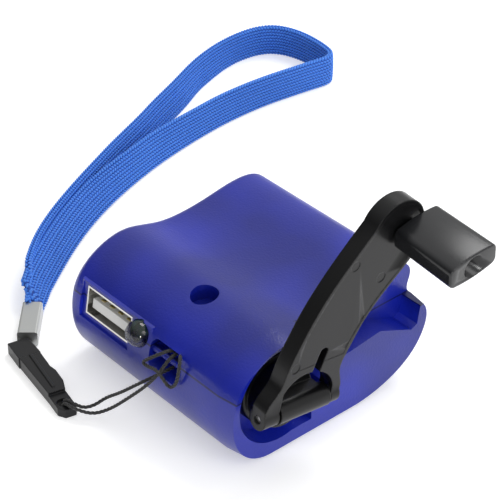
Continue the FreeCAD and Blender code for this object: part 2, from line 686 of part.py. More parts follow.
def gearbox():
    """The two plates, their pillars and the pillar screws."""
    screw_bores = [(place, PILLAR_SCREW_RADIUS) for place in pillar_places()]
    pins = [(AXIS_FIRST, IDLER_RADIUS), (AXIS_SECOND, IDLER_RADIUS)]
    shaft_bore = SHAFT_RADIUS + RUNNING_GAP
    rotor_bore = ROTOR_SHAFT_RADIUS + RUNNING_GAP
    nodes = {
        "outer_gear_plate": gearbox_plate(OUTER_PLATE_X, screw_bores + pins + [(AXIS_DRIVE, shaft_bore)]),
        "inner_gear_plate": gearbox_plate(
            INNER_PLATE_X, screw_bores + pins + [(AXIS_DRIVE, shaft_bore), (AXIS_ROTOR, rotor_bore)]
        ),
    }
    pillars = []
    screws = []
    inner_face = INNER_PLATE_X + PLATE_THICKNESS
    for y, z in pillar_places():
        pillar = rod_x(inner_face, OUTER_PLATE_X, y, z, PILLAR_RADIUS)
        bite_end = inner_face + PILLAR_SCREW_BITE
        pillars.append(pillar.cut(rod_x(inner_face, bite_end + PILLAR_PAD, y, z, PILLAR_SCREW_RADIUS)))
        head = rod_x(INNER_PLATE_X - PILLAR_HEAD, INNER_PLATE_X, y, z, PILLAR_HEAD_RADIUS)
        screws.append(fuse(head, rod_x(INNER_PLATE_X, bite_end, y, z, PILLAR_SCREW_RADIUS)))
    nodes["gearbox_pillars"] = Part.makeCompound(pillars)
    nodes["gearbox_screws"] = Part.makeCompound(screws)
    return nodes


def generator():
    """The magnet rotor, its shaft, the iron core, the bobbin, the winding and the end bracket."""
    y, z = AXIS_ROTOR
    magnet_x = BRACKET_X + PLATE_THICKNESS + CORE_SETBACK
    shaft_end = SECOND_WHEEL_X + PINION_WIDTH + 0.2
    nodes = {"rotor_shaft": rod_x(BRACKET_X, shaft_end, y, z, ROTOR_SHAFT_RADIUS)}
    magnet = rod_x(magnet_x, magnet_x + MAGNET_LENGTH, y, z, MAGNET_RADIUS)
    nodes["magnet_rotor"] = magnet.cut(nodes["rotor_shaft"])
    core_x0 = CORE_X
    core_x1 = core_x0 + CORE_WIDTH
    core_middle = core_x0 + CORE_WIDTH / 2
    reach = MAGNET_RADIUS + AIR_GAP
    coil_y1 = y - reach - CORE_WALL - 1.0
    coil_y0 = coil_y1 - COIL_LENGTH
    jaw = box(core_x0, core_x1, coil_y1, y + reach * 0.6, z - reach - CORE_WALL, z + reach + CORE_WALL)
    jaw = jaw.cut(rod_x(core_x0 - 1, core_x1 + 1, y, z, reach))
    gap = box(core_x0 - 1, core_x1 + 1, coil_y1 + CORE_WALL, y + BIG, z - 0.5, z + 0.5)
    slot = box(core_x0 - 1, core_x1 + 1, coil_y1 + CORE_WALL, y - reach * 0.8, z - 2.2, z + 2.2)
    leg = box(core_middle - LEG_HALF, core_middle + LEG_HALF, coil_y0 - LEG_HALF, coil_y1 + 0.2,
              z - LEG_HALF, z + LEG_HALF)
    nodes["stator_core"] = fuse(jaw.cut(gap.fuse(slot)), leg)
    tube = Part.makeCylinder(BOBBIN_BORE_RADIUS, COIL_LENGTH, Vector(core_middle, coil_y0, z), Y_AXIS)
    cheek_a = Part.makeCylinder(COIL_RADIUS + 0.6, BOBBIN_CHEEK, Vector(core_middle, coil_y0, z), Y_AXIS)
    cheek_b = cheek_a.copy()
    cheek_b.translate(Vector(0, COIL_LENGTH - BOBBIN_CHEEK, 0))
    leg_hole = box(core_middle - LEG_HALF, core_middle + LEG_HALF, coil_y0 - 2, coil_y1 + 2,
                   z - LEG_HALF, z + LEG_HALF)
    nodes["coil_bobbin"] = fuse(tube, cheek_a, cheek_b).cut(leg_hole)
    winding = Part.makeCylinder(
        COIL_RADIUS, COIL_LENGTH - 2 * BOBBIN_CHEEK, Vector(core_middle, coil_y0 + BOBBIN_CHEEK, z), Y_AXIS
    )
    nodes["coil_winding"] = winding.cut(tube)
    front_y = y - BRACKET_FRONT
    strap_y = front_y + BRACKET_STRAP
    low_z = z - BRACKET_DROP
    bracket_end = BRACKET_X + PLATE_THICKNESS
    bracket = box(BRACKET_X, bracket_end, front_y, y + BRACKET_HALF, z - BRACKET_HALF, z + BRACKET_HALF)
    arm_low = box(BRACKET_X, INNER_PLATE_X, front_y, strap_y, low_z, low_z + LEG_HALF)
    strap = box(BRACKET_X, bracket_end, front_y, strap_y, low_z, z - BRACKET_HALF)
    shaft_bore = rod_x(BRACKET_X - 1, bracket_end + 1, y, z, ROTOR_SHAFT_RADIUS + RUNNING_GAP)
    nodes["generator_bracket"] = fuse(bracket, strap, arm_low).cut(shaft_bore)
    return nodes


# Crank
def hinge_frame(shape, lean):
    """Move a piece from the hinge's own axes to the body: u along the pin, v up, w outwards."""
    moved = shape.copy()
    moved.rotate(Vector(0, 0, 0), Y_AXIS, lean)
    moved.rotate(Vector(0, 0, 0), X_AXIS, -PIN_DIP)
    moved.translate(Vector(PIN_X, HUB_Y, HUB_Z))
    return moved


def crank_hub():
    """The hub: a disc in the pocket, a smaller flange and the hinge knuckle."""
    disc_x = POCKET_FLOOR + HUB_GAP
    disc = rod_x(disc_x, disc_x + HUB_DISC, HUB_Y, HUB_Z, HUB_RADIUS)
    rim = [edge for edge in disc.Edges if abs(edge.BoundBox.XMin - disc_x - HUB_DISC) < 0.01]
    disc = disc.makeFillet(0.5, rim)
    flange_end = PIN_X - KNUCKLE_RADIUS - 0.2
    flange = rod_x(disc_x + HUB_DISC - 0.5, flange_end, HUB_Y, HUB_Z, FLANGE_RADIUS)
    barrel = Part.makeCylinder(
        KNUCKLE_RADIUS, KNUCKLE_LENGTH, Vector(0, KNUCKLE_SHIFT - KNUCKLE_LENGTH / 2, 0), Y_AXIS
    )
    web = box(
        flange_end - PIN_X - 0.4, 0, KNUCKLE_SHIFT - KNUCKLE_LENGTH / 2, KNUCKLE_SHIFT + KNUCKLE_LENGTH / 2,
        -KNUCKLE_RADIUS, KNUCKLE_RADIUS,
    )
    web = web.common(Part.makeCylinder(FLANGE_RADIUS - 0.1, 20, Vector(-10, 0, 0), X_AXIS))
    knuckle = hinge_frame(barrel.fuse(web), 0.0)
    hub = fuse(disc, flange, knuckle)
    pin_hole = hinge_frame(hinge_rod(PIN_RADIUS + RUNNING_GAP, EAR_LEFT, EAR_RIGHT), 0.0)
    shaft_hole = rod_x(POCKET_FLOOR, disc_x + 3.4, HUB_Y, HUB_Z, SHAFT_RADIUS)
    return hub.cut(pin_hole).cut(shaft_hole)


def hinge_rod(radius, low, high):
    """A round bar along the hinge pin's axis."""
    return Part.makeCylinder(radius, high - low, Vector(0, low, 0), Y_AXIS)


def arm_wire(inset, low):
    """The arm's outline in its own plane, moved inwards and cut off square at a height."""
    left = [(u + inset, v) for u, v in ARM_LEFT_EDGE if v > low]
    right = [(u - inset, v) for u, v in ARM_RIGHT_EDGE if v > low]
    if low < ARM_LEFT_EDGE[0][1]:
        left.insert(0, (EAR_LEFT, EAR_SHOULDER))
        right.append((EAR_RIGHT, EAR_SHOULDER))
    left_curve = Part.BSplineCurve()
    left_curve.interpolate(Points=[Vector(0, u, v) for u, v in left])
    right_curve = Part.BSplineCurve()
    right_curve.interpolate(Points=[Vector(0, u, v) for u, v in right])
    tip = Part.Arc(Vector(0, *left[-1]), Vector(0, ARM_TIP[0], ARM_TIP[1] - inset), Vector(0, *right[0]))
    right_foot = Vector(0, right[-1][0], low)
    left_foot = Vector(0, left[0][0], low)
    return Part.Wire([
        left_curve.toShape(), tip.toShape(), right_curve.toShape(),
        Part.makeLine(Vector(0, *right[-1]), right_foot), Part.makeLine(right_foot, left_foot),
        Part.makeLine(left_foot, Vector(0, *left[0])),
    ])


def arm_slot():
    """The round-ended slot that runs up the arm from the fork's throat."""
    half = ARM_SLOT_WIDTH / 2
    foot_u, foot_v = ARM_SLOT_FOOT
    slot = box(-5, 5, foot_u - half, foot_u + half, foot_v, foot_v + ARM_SLOT_LENGTH - half)
    slot = slot.fuse(rod_x(-5, 5, foot_u, foot_v + ARM_SLOT_LENGTH - half, half))
    slot.rotate(Vector(0, foot_u, foot_v), X_AXIS, -ARM_SLOT_LEAN)
    return slot


def fork_throat(window_low, window_high):
    """The arched opening of the fork, cut through the arm above the knuckle."""
    arch = Part.BSplineCurve()
    arch.interpolate(Points=[Vector(-5, u, v) for u, v in THROAT_ARCH])
    wire = Part.Wire([
        arch.toShape(),
        Part.makeLine(Vector(-5, *THROAT_ARCH[-1]), Vector(-5, window_high, -1)),
        Part.makeLine(Vector(-5, window_high, -1), Vector(-5, window_low, -1)),
        Part.makeLine(Vector(-5, window_low, -1), Vector(-5, *THROAT_ARCH[0])),
    ])
    return Part.Face(wire).extrude(Vector(10, 0, 0))


def crank_arm():
    """The arm: a thick blade with a fork, a slot, a sunk front face and a seat for the knob's axle."""
    half = ARM_THICKNESS / 2
    blade = Part.Face(arm_wire(0.0, -KNUCKLE_RADIUS)).extrude(Vector(ARM_THICKNESS, 0, 0))
    blade.translate(Vector(-half, 0, 0))
    ear_end = box(-half - 1, half + 1, EAR_LEFT - 1, EAR_RIGHT + 1, -KNUCKLE_RADIUS - 1, 0)
    blade = blade.cut(ear_end).fuse(hinge_rod(EAR_RADIUS, EAR_LEFT, EAR_RIGHT))
    window_low = KNUCKLE_SHIFT - KNUCKLE_LENGTH / 2 - FORK_GAP
    window_high = KNUCKLE_SHIFT + KNUCKLE_LENGTH / 2 + FORK_GAP
    window = box(-5, 5, window_low, window_high, -10, 0)
    swing = hinge_rod(KNUCKLE_RADIUS + 0.45, window_low, window_high)
    tray = Part.Face(arm_wire(TRAY_INSET, TRAY_LOW)).extrude(Vector(5, 0, 0))
    tray.translate(Vector(half - TRAY_DEPTH, 0, 0))
    marks = [rod_x(half - TRAY_DEPTH - ARM_MARK_DEPTH, 5, u, v, ARM_MARK_RADIUS) for u, v in ARM_MARKS]
    axle_hole = rod_x(-5, 5, KNOB_U, KNOB_V, AXLE_RADIUS)
    rivet_seat = rod_x(-5, AXLE_HEAD - half, KNOB_U, KNOB_V, AXLE_HEAD_RADIUS + 0.2)
    pin_hole = hinge_rod(PIN_RADIUS, EAR_LEFT - 1, EAR_RIGHT + 1)
    cuts = [swing, fork_throat(window_low, window_high), arm_slot(), tray, axle_hole, rivet_seat, pin_hole]
    arm = blade.cut(window.multiFuse(cuts + marks))
    return hinge_frame(largest(arm), ARM_LEAN)


def hinge_pin():
    """The steel pin through the fork's ears and the knuckle."""
    return hinge_frame(hinge_rod(PIN_RADIUS, EAR_LEFT + 0.6, EAR_RIGHT - 0.6), ARM_LEAN)


def knob_section(x, scale):
    """The knob's flat oval outline at a distance along it, with a low dome above and below."""
    long_half = KNOB_LONG / 2 * scale
    short_half = KNOB_SHORT / 2 * scale
    edge = short_half - KNOB_DOME
    points = [
        Vector(x, -long_half, -edge), Vector(x, -long_half, edge), Vector(x, 0, short_half),
        Vector(x, long_half, edge), Vector(x, long_half, -edge), Vector(x, 0, -short_half),
    ]
    return Part.Wire([
        Part.makeLine(points[0], points[1]), Part.Arc(points[1], points[2], points[3]).toShape(),
        Part.makeLine(points[3], points[4]), Part.Arc(points[4], points[5], points[0]).toShape(),
    ])


def knob_place(shape):
    """Move a knob piece from its own axes on to the arm."""
    moved = shape.copy()
    moved.rotate(Vector(0, 0, 0), X_AXIS, KNOB_TURN)
    moved.translate(Vector(ARM_THICKNESS / 2 + KNOB_GAP, KNOB_U, KNOB_V))
    return hinge_frame(moved, ARM_LEAN)


def knob():
    """The turning grip: a tapered flat oval with a deep round hole in its free end."""
    body = Part.makeLoft([knob_section(0, KNOB_TAPER), knob_section(KNOB_LENGTH, 1.0)], True, True)
    long_edges = [edge for edge in body.Edges if edge.BoundBox.XLength > KNOB_LENGTH / 2]
    body = body.makeFillet(KNOB_CORNER, long_edges)
    ends = [edge for edge in body.Edges if edge.BoundBox.XLength < 0.01]
    body = body.makeFillet(0.35, ends)
    bore = rod_x(KNOB_LENGTH - KNOB_BORE_DEPTH, KNOB_LENGTH + 1, 0, 0, KNOB_BORE_RADIUS)
    axle_bore = rod_x(-1, KNOB_LENGTH, 0, 0, AXLE_RADIUS + RUNNING_GAP)
    return knob_place(body.cut(bore).cut(axle_bore))


def knob_axle():
    """The shouldered axle riveted in the arm, whose head sits at the bottom of the knob's hole."""
    seat = KNOB_LENGTH - KNOB_BORE_DEPTH + 0.15
    tail = -KNOB_GAP - ARM_THICKNESS + 0.1
    rivet = rod_x(tail, tail + AXLE_HEAD - 0.1, 0, 0, AXLE_HEAD_RADIUS)
    stem = rod_x(tail, seat + AXLE_HEAD, 0, 0, AXLE_RADIUS)
    head = rod_x(seat, seat + AXLE_HEAD, 0, 0, AXLE_HEAD_RADIUS)
    return knob_place(fuse(rivet, stem, head))


def crank_shaft():
    """The steel shaft from the hub through the bush and the drive gear."""
    return rod_x(INNER_PLATE_X, POCKET_FLOOR + HUB_GAP + 3.4, HUB_Y, HUB_Z, SHAFT_RADIUS)


def shaft_bush():
    """The flanged bush in the pocket's floor."""
    length_end = POCKET_FLOOR - 0.05
    sleeve = rod_x(NEAR_INSIDE - 0.05, length_end, HUB_Y, HUB_Z, SHAFT_RADIUS + BUSH_WALL)
    return sleeve.cut(rod_x(NEAR_INSIDE - 1, POCKET_FLOOR + 1, HUB_Y, HUB_Z, SHAFT_RADIUS + RUNNING_GAP))


# Socket, board and lamp
def socket_group():
    """The socket's shell, tongue and contacts, the board, its parts and the lamp."""
    y0 = mouth_y()
    half_w = USB_WIDTH / 2
    half_h = USB_HEIGHT / 2
    outer = box(USB_X - half_w, USB_X + half_w, y0, y0 + USB_DEPTH, USB_Z - half_h, USB_Z + half_h)
    inner = box(
        USB_X - half_w + USB_SHEET, USB_X + half_w - USB_SHEET, y0 - 1, y0 + USB_DEPTH - USB_SHEET,
        USB_Z - half_h + USB_SHEET, USB_Z + half_h - USB_SHEET,
    )
    nodes = {"usb_shell": outer.cut(inner)}
    tongue_z = USB_Z - 0.5
    back_y = y0 + USB_DEPTH - USB_SHEET
    tongue_y = back_y - 3.0 - TONGUE_REACH
    half_t = TONGUE_THICKNESS / 2
    tongue = box(
        USB_X - TONGUE_WIDTH / 2, USB_X + TONGUE_WIDTH / 2, tongue_y, back_y - 2.9,
        tongue_z - half_t, tongue_z + half_t,
    )
    block = box(
        USB_X - half_w + USB_SHEET, USB_X + half_w - USB_SHEET, back_y - 3.0, back_y,
        USB_Z - half_h + USB_SHEET, USB_Z + half_h - USB_SHEET,
    )
    nodes["usb_tongue"] = fuse(tongue, block)
    contacts = []
    for index in range(4):
        x = USB_X + CONTACT_PITCH * (index - 1.5)
        top = tongue_z + half_t
        x0 = x - CONTACT_WIDTH / 2
        contacts.append(box(x0, x0 + CONTACT_WIDTH, tongue_y + 0.8, back_y - 3.0, top, top + CONTACT_SHEET))
    nodes["usb_contacts"] = Part.makeCompound(contacts)
    board_top = USB_Z - half_h
    board_y0 = y0 + 1.6
    board_y1 = board_y0 + BOARD_LENGTH
    board = box(BOARD_LEFT, BOARD_RIGHT, board_y0, board_y1, board_top - BOARD_THICKNESS, board_top)
    nodes.update(board_parts(board_top, y0 + USB_DEPTH))
    nodes["led"] = lamp(board_top)
    leaned = {name: tilt(shape) for name, shape in nodes.items()}
    leaned["circuit_board"] = tilt(board)
    return leaned


def lamp(board_top):
    """The clear lamp: a domed body with a rim and two legs bent down to the board."""
    base_y = led_front() - LED_PROUD + LED_LENGTH
    straight = LED_LENGTH - LED_RADIUS
    body = Part.makeCylinder(LED_RADIUS, straight, Vector(LED_X, base_y, LED_Z), -Y_AXIS)
    dome = Part.makeSphere(LED_RADIUS, Vector(LED_X, base_y - straight, LED_Z))
    legs = []
    for side in (-1.27, 1.27):
        x = LED_X + side
        legs.append(box(x - 0.25, x + 0.25, base_y - 0.2, base_y + 1.5, LED_Z - 0.25, LED_Z + 0.25))
        legs.append(box(x - 0.25, x + 0.25, base_y + 1.0, base_y + 1.5, board_top, LED_Z + 0.25))
    return fuse(body, dome, *legs)


def board_parts(board_top, y):
    """The rectifier diodes, the smoothing capacitor, the regulator and the resistors on the board."""
    width = BOARD_RIGHT - BOARD_LEFT
    diodes = []
    for index in range(4):
        x = BOARD_LEFT + width * (DIODE_START + DIODE_PITCH * index)
        diodes.append(box(x, x + 1.6, y + 0.8, y + 4.0, board_top, board_top + 1.5))
    can_x = USB_X + USB_WIDTH / 2 + CAN_GAP + CAN_RADIUS
    can = Part.makeCylinder(CAN_RADIUS, CAN_LENGTH, Vector(can_x, y + 0.2, board_top + CAN_RADIUS), -Y_AXIS)
    can = can.makeFillet(0.3, [edge for edge in can.Edges if edge.BoundBox.YLength < 0.01])
    x = BOARD_LEFT + width * REGULATOR_START
    regulator = box(x, x + 1.8, y + 0.8, y + 3.8, board_top, board_top + 1.1)
    x = BOARD_RIGHT - 1.9
    resistors = [box(x, x + 1.2, y + 1.6 + 1.3 * index, y + 2.2 + 1.3 * index, board_top, board_top + 0.5)
                 for index in range(2)]
    return {
        "rectifier_diodes": Part.makeCompound(diodes),
        "capacitor": can,
        "regulator": regulator,
        "resistors": Part.makeCompound(resistors),
    }


# Case screws
def case_screws():
    """The four pan head screws that hold the shells together, driven from below."""
    screws = []
    for x, y, seat in boss_places():
        head = Part.makeCylinder(SCREW_HEAD_RADIUS, SCREW_HEAD, Vector(x, y, seat - SCREW_HEAD), Z_AXIS)
        stem = Part.makeCylinder(SCREW_RADIUS, PARTING_Z - seat + SCREW_BITE, Vector(x, y, seat), Z_AXIS)
        low = seat - SCREW_HEAD
        high = low + CROSS_DEPTH
        long_cut = box(x - CROSS_REACH, x + CROSS_REACH, y - CROSS_HALF, y + CROSS_HALF, low, high)
        cross_cut = box(x - CROSS_HALF, x + CROSS_HALF, y - CROSS_REACH, y + CROSS_REACH, low, high)
        screws.append(fuse(head, stem).cut(long_cut).cut(cross_cut))
    return Part.makeCompound(screws)


# Strap
def route_path(name, points):
    """The path through a route's points, as straight runs joined by tangent arcs."""
    edges = []
    last = points[0]
    radii = []
    for before, corner, after in zip(points, points[1:], points[2:]):
        back = before - corner
        ahead = after - corner
        reach = ROUTE_SHARE * min(back.Length, ahead.Length)
        turn = math.pi - back.getAngle(ahead)
        radius = reach / math.tan(turn / 2)
        back.normalize()
        ahead.normalize()
        bisector = (back + ahead).normalize()
        middle = corner + bisector * (radius / math.cos(turn / 2) - radius)
        start = corner + back * reach
        end = corner + ahead * reach
        edges.append(Part.LineSegment(last, start).toShape())
        edges.append(Part.Arc(start, middle, end).toShape())
        last = end
        radii.append(round(radius, 1))
    edges.append(Part.LineSegment(last, points[-1]).toShape())
    path = Part.Wire(edges)
    print(name, "length %.1f" % path.Length, "radii", radii)
    return path


def strap_cord():
    """The thin round cord that goes through the clip's hole and round the lug's bar."""
    points = [Vector(*point) for point in CORD_ROUTE]
    path = route_path("strap_cord", points)
    circle = Part.Circle(points[0], points[1] - points[0], CORD_RADIUS)
    tube = path.makePipeShell([Part.Wire([circle.toShape()])], True, False)
    print("strap_cord volume %.2f of %.2f" % (tube.Volume, math.pi * CORD_RADIUS**2 * path.Length))
    return tube


def ribbon_strap():
    """The flat woven ribbon, which stands on its edge in a long loop."""
    points = [Vector(x, y, RIBBON_LIFT) for x, y in RIBBON_ROUTE]
    path = route_path("ribbon_strap", points)
    along = (points[1] - points[0]).normalize()
    across = Vector(-along.y, along.x, 0) * (RIBBON_THICKNESS / 2)
    up = Vector(0, 0, RIBBON_WIDTH)
    corners = [points[0] + across, points[0] - across, points[0] - across + up, points[0] + across + up]
    section = Part.makePolygon(corners + corners[:1])
    band = path.makePipeShell([section], True, False)
    print("ribbon volume %.2f of %.2f" % (band.Volume, RIBBON_WIDTH * RIBBON_THICKNESS * path.Length))
    return band


def strap_place(shape, start, turn):
    """Lay a strap piece on the table, from its own axes."""
    moved = shape.copy()
    moved.rotate(Vector(0, 0, 0), Z_AXIS, turn)
    moved.translate(Vector(start[0], start[1], 0))
    return moved


def clip_outline(points, height):
    """A flat piece of the clip between the table and a height, from (s, w) points."""
    wire = Part.makePolygon([Vector(s, w, 0) for s, w in points + points[:1]])
    return Part.Face(wire).extrude(Vector(0, 0, height))


def strap_clip():
    """The two halves of the release clip: one with the cord's hole, and the collar it plugs into."""
    top = CLIP_THICKNESS
    prong_end = CLIP_JOINT + PRONG_LENGTH
    nose = clip_outline(NOSE_OUTLINE, CLIP_TIP_THICKNESS)
    prong = box(CLIP_JOINT - 1, prong_end, -PRONG_HALF, PRONG_HALF, PRONG_LOW, top - PRONG_LOW)
    hole = Part.makeCylinder(CLIP_HOLE_RADIUS, 10, Vector(CLIP_HOLE_PLACE, 0, -1))
    ridge = box(RIDGE_START, CLIP_JOINT, -RIDGE_HALF, RIDGE_HALF, top - 0.2, top + RIDGE_HEIGHT)
    near = fuse(clip_outline(CLIP_OUTLINE, top), nose, prong, ridge).cut(hole)
    half = PRONG_HALF + 0.1
    socket = box(CLIP_JOINT - 1, prong_end + 0.1, -half, half, PRONG_LOW - 0.1, top - PRONG_LOW + 0.1)
    collar = clip_outline(COLLAR_OUTLINE, top).cut(socket)
    return {
        "clip_body": strap_place(near, CLIP_TIP, CLIP_TURN),
        "clip_collar": strap_place(collar, CLIP_TIP, CLIP_TURN),
    }


def strap_ferrule():
    """The crimped sleeve that holds the two ends of the ribbon to the clip's collar."""
    half = FERRULE_WIDTH / 2
    outer = box(0, FERRULE_LENGTH, -half, half, 0, FERRULE_HEIGHT)
    long_edges = [edge for edge in outer.Edges if edge.BoundBox.XLength > FERRULE_LENGTH / 2]
    outer = outer.makeFillet(0.5, long_edges)
    sheet = FERRULE_SHEET
    reach = half - sheet
    inner = box(FERRULE_LENGTH - 3, FERRULE_LENGTH + 1, -reach, reach, sheet, FERRULE_HEIGHT - sheet)
    return strap_place(outer.cut(inner), FERRULE_FRONT, FERRULE_TURN)


def main():
    """Build every piece and write one file for each."""
    os.makedirs("parts", exist_ok=True)
    bottom, top = shells()
    nodes = {"bottom_shell": bottom, "top_shell": top, "case_screws": case_screws()}
    nodes.update(socket_group())
    nodes.update(gear_train())
    nodes.update(gearbox())
    nodes.update(generator())
    nodes["crank_shaft"] = crank_shaft()
    nodes["shaft_bush"] = shaft_bush()
    nodes["crank_hub"] = crank_hub()
    nodes["hinge_pin"] = hinge_pin()
    nodes["crank_arm"] = crank_arm()
    nodes["knob"] = knob()
    nodes["knob_axle"] = knob_axle()
    nodes["strap_cord"] = strap_cord()
    nodes.update(strap_clip())
    nodes["strap_ferrule"] = strap_ferrule()
    nodes["ribbon_strap"] = ribbon_strap()
    for name, shape in sorted(nodes.items()):
        shape.exportStep(os.path.join("parts", name + ".step"))
        size = shape.BoundBox
        print(
            "%-20s solids %d valid %s volume %.1f  x %.1f..%.1f y %.1f..%.1f z %.1f..%.1f"
            % (name, len(shape.Solids), shape.isValid(), shape.Volume, size.XMin, size.XMax, size.YMin,
               size.YMax, size.ZMin, size.ZMax)
        )


main()
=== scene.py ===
"""The hand crank phone charger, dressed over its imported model: finishes, soft strap, studio and camera."""

import logging
import math
from dataclasses import dataclass
from enum import Enum

import bmesh
import bpy
from mathutils import Matrix, Vector

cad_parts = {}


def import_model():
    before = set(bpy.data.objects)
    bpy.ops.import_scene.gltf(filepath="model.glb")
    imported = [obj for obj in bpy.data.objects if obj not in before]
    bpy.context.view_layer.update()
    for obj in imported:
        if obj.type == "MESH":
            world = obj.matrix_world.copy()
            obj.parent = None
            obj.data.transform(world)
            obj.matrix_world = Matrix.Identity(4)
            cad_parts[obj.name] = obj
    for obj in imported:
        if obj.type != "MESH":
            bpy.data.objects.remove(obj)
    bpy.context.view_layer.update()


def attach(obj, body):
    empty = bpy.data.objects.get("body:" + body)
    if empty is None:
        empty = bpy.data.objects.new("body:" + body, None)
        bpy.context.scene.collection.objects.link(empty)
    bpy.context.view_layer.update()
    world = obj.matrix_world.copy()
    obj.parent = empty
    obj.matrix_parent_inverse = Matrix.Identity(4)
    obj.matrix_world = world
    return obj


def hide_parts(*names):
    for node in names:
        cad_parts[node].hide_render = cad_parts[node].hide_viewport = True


log = logging.getLogger("charger")

UP = Vector((0.0, 0.0, 1.0))

# Clean up of a copied solid: the distance in metres and the angle in degrees below which it is merged
MERGE_DISTANCE = 0.000002
MERGE_ANGLE = 0.5

# Shading and rounding of the dressed pieces, with angles in degrees
SMOOTH_ANGLE = 28.0
ROUND_SMOOTH_ANGLE = 50.0
BEVEL_ANGLE = 35.0
BEVEL_FACES = 3

# The steps between two points of a cord's route, and how far past a run a mark still counts, in metres
LINE_STEPS = 24
MARK_SLACK = 1e-12

# The cord's route, from the clip's hole round the lug's bar and back, in metres
CORD_ROUTE = (
    (-0.0105, -0.0353, 0.0006), (-0.01045, -0.0353, 0.0025), (-0.0075, -0.03515, 0.0025),
    (-0.00467, -0.03305, 0.0017), (-0.00247, -0.03065, 0.0030), (0.0010, -0.0293, 0.0068),
    (0.0042, -0.0274, 0.0106), (0.0062, -0.0258, 0.0140), (0.0065, -0.0236, 0.0164),
    (0.0064, -0.0206, 0.0164), (0.0052, -0.0206, 0.0126), (0.0049, -0.0249, 0.0124),
    (0.0026, -0.0276, 0.0104), (-0.00135, -0.02915, 0.0066), (-0.0047, -0.0297, 0.0039),
    (-0.00595, -0.0315, 0.0022), (-0.0065, -0.0335, 0.0023), (-0.0085, -0.03425, 0.0025),
    (-0.01105, -0.0347, 0.0025), (-0.01108, -0.03475, 0.0006),
)

# The bight of the cord's knot, in front of the lug, in metres
HITCH_ROUTE = (
    (0.0056, -0.0206, 0.0150), (0.0054, -0.0222, 0.0168), (0.0048, -0.0244, 0.0166),
    (0.0018, -0.0254, 0.0140), (0.0007, -0.0254, 0.0128), (0.0030, -0.0258, 0.0133),
    (0.0058, -0.0264, 0.0148), (0.0068, -0.0258, 0.0132), (0.0080, -0.0252, 0.0112),
    (0.0097, -0.0250, 0.0130), (0.0101, -0.0246, 0.0162), (0.0090, -0.0234, 0.0176),
    (0.0072, -0.0218, 0.0166), (0.0070, -0.0206, 0.0150),
)

# The ribbon's route on the table, from the ferrule out and back to it, in metres
RIBBON_LIFT = 0.0001
RIBBON_ROUTE = (
    (-0.03841, -0.02294), (-0.0446, -0.0176), (-0.0526, -0.0086), (-0.0606, 0.0050), (-0.0708, 0.0260),
    (-0.0812, 0.0466), (-0.0882, 0.0630), (-0.0900, 0.0750), (-0.0882, 0.0828), (-0.0818, 0.0860),
    (-0.0730, 0.0860), (-0.0670, 0.0844), (-0.0682, 0.0770), (-0.0699, 0.0630), (-0.0688, 0.0460),
    (-0.0638, 0.0240), (-0.0556, 0.0044), (-0.0446, -0.0126), (-0.03751, -0.02167),
)


class Body(Enum):
    """The bodies that the dressed pieces ride on."""

    CASE = "case"
    CRANK = "crank"
    ARM = "arm"
    GRIP = "grip"


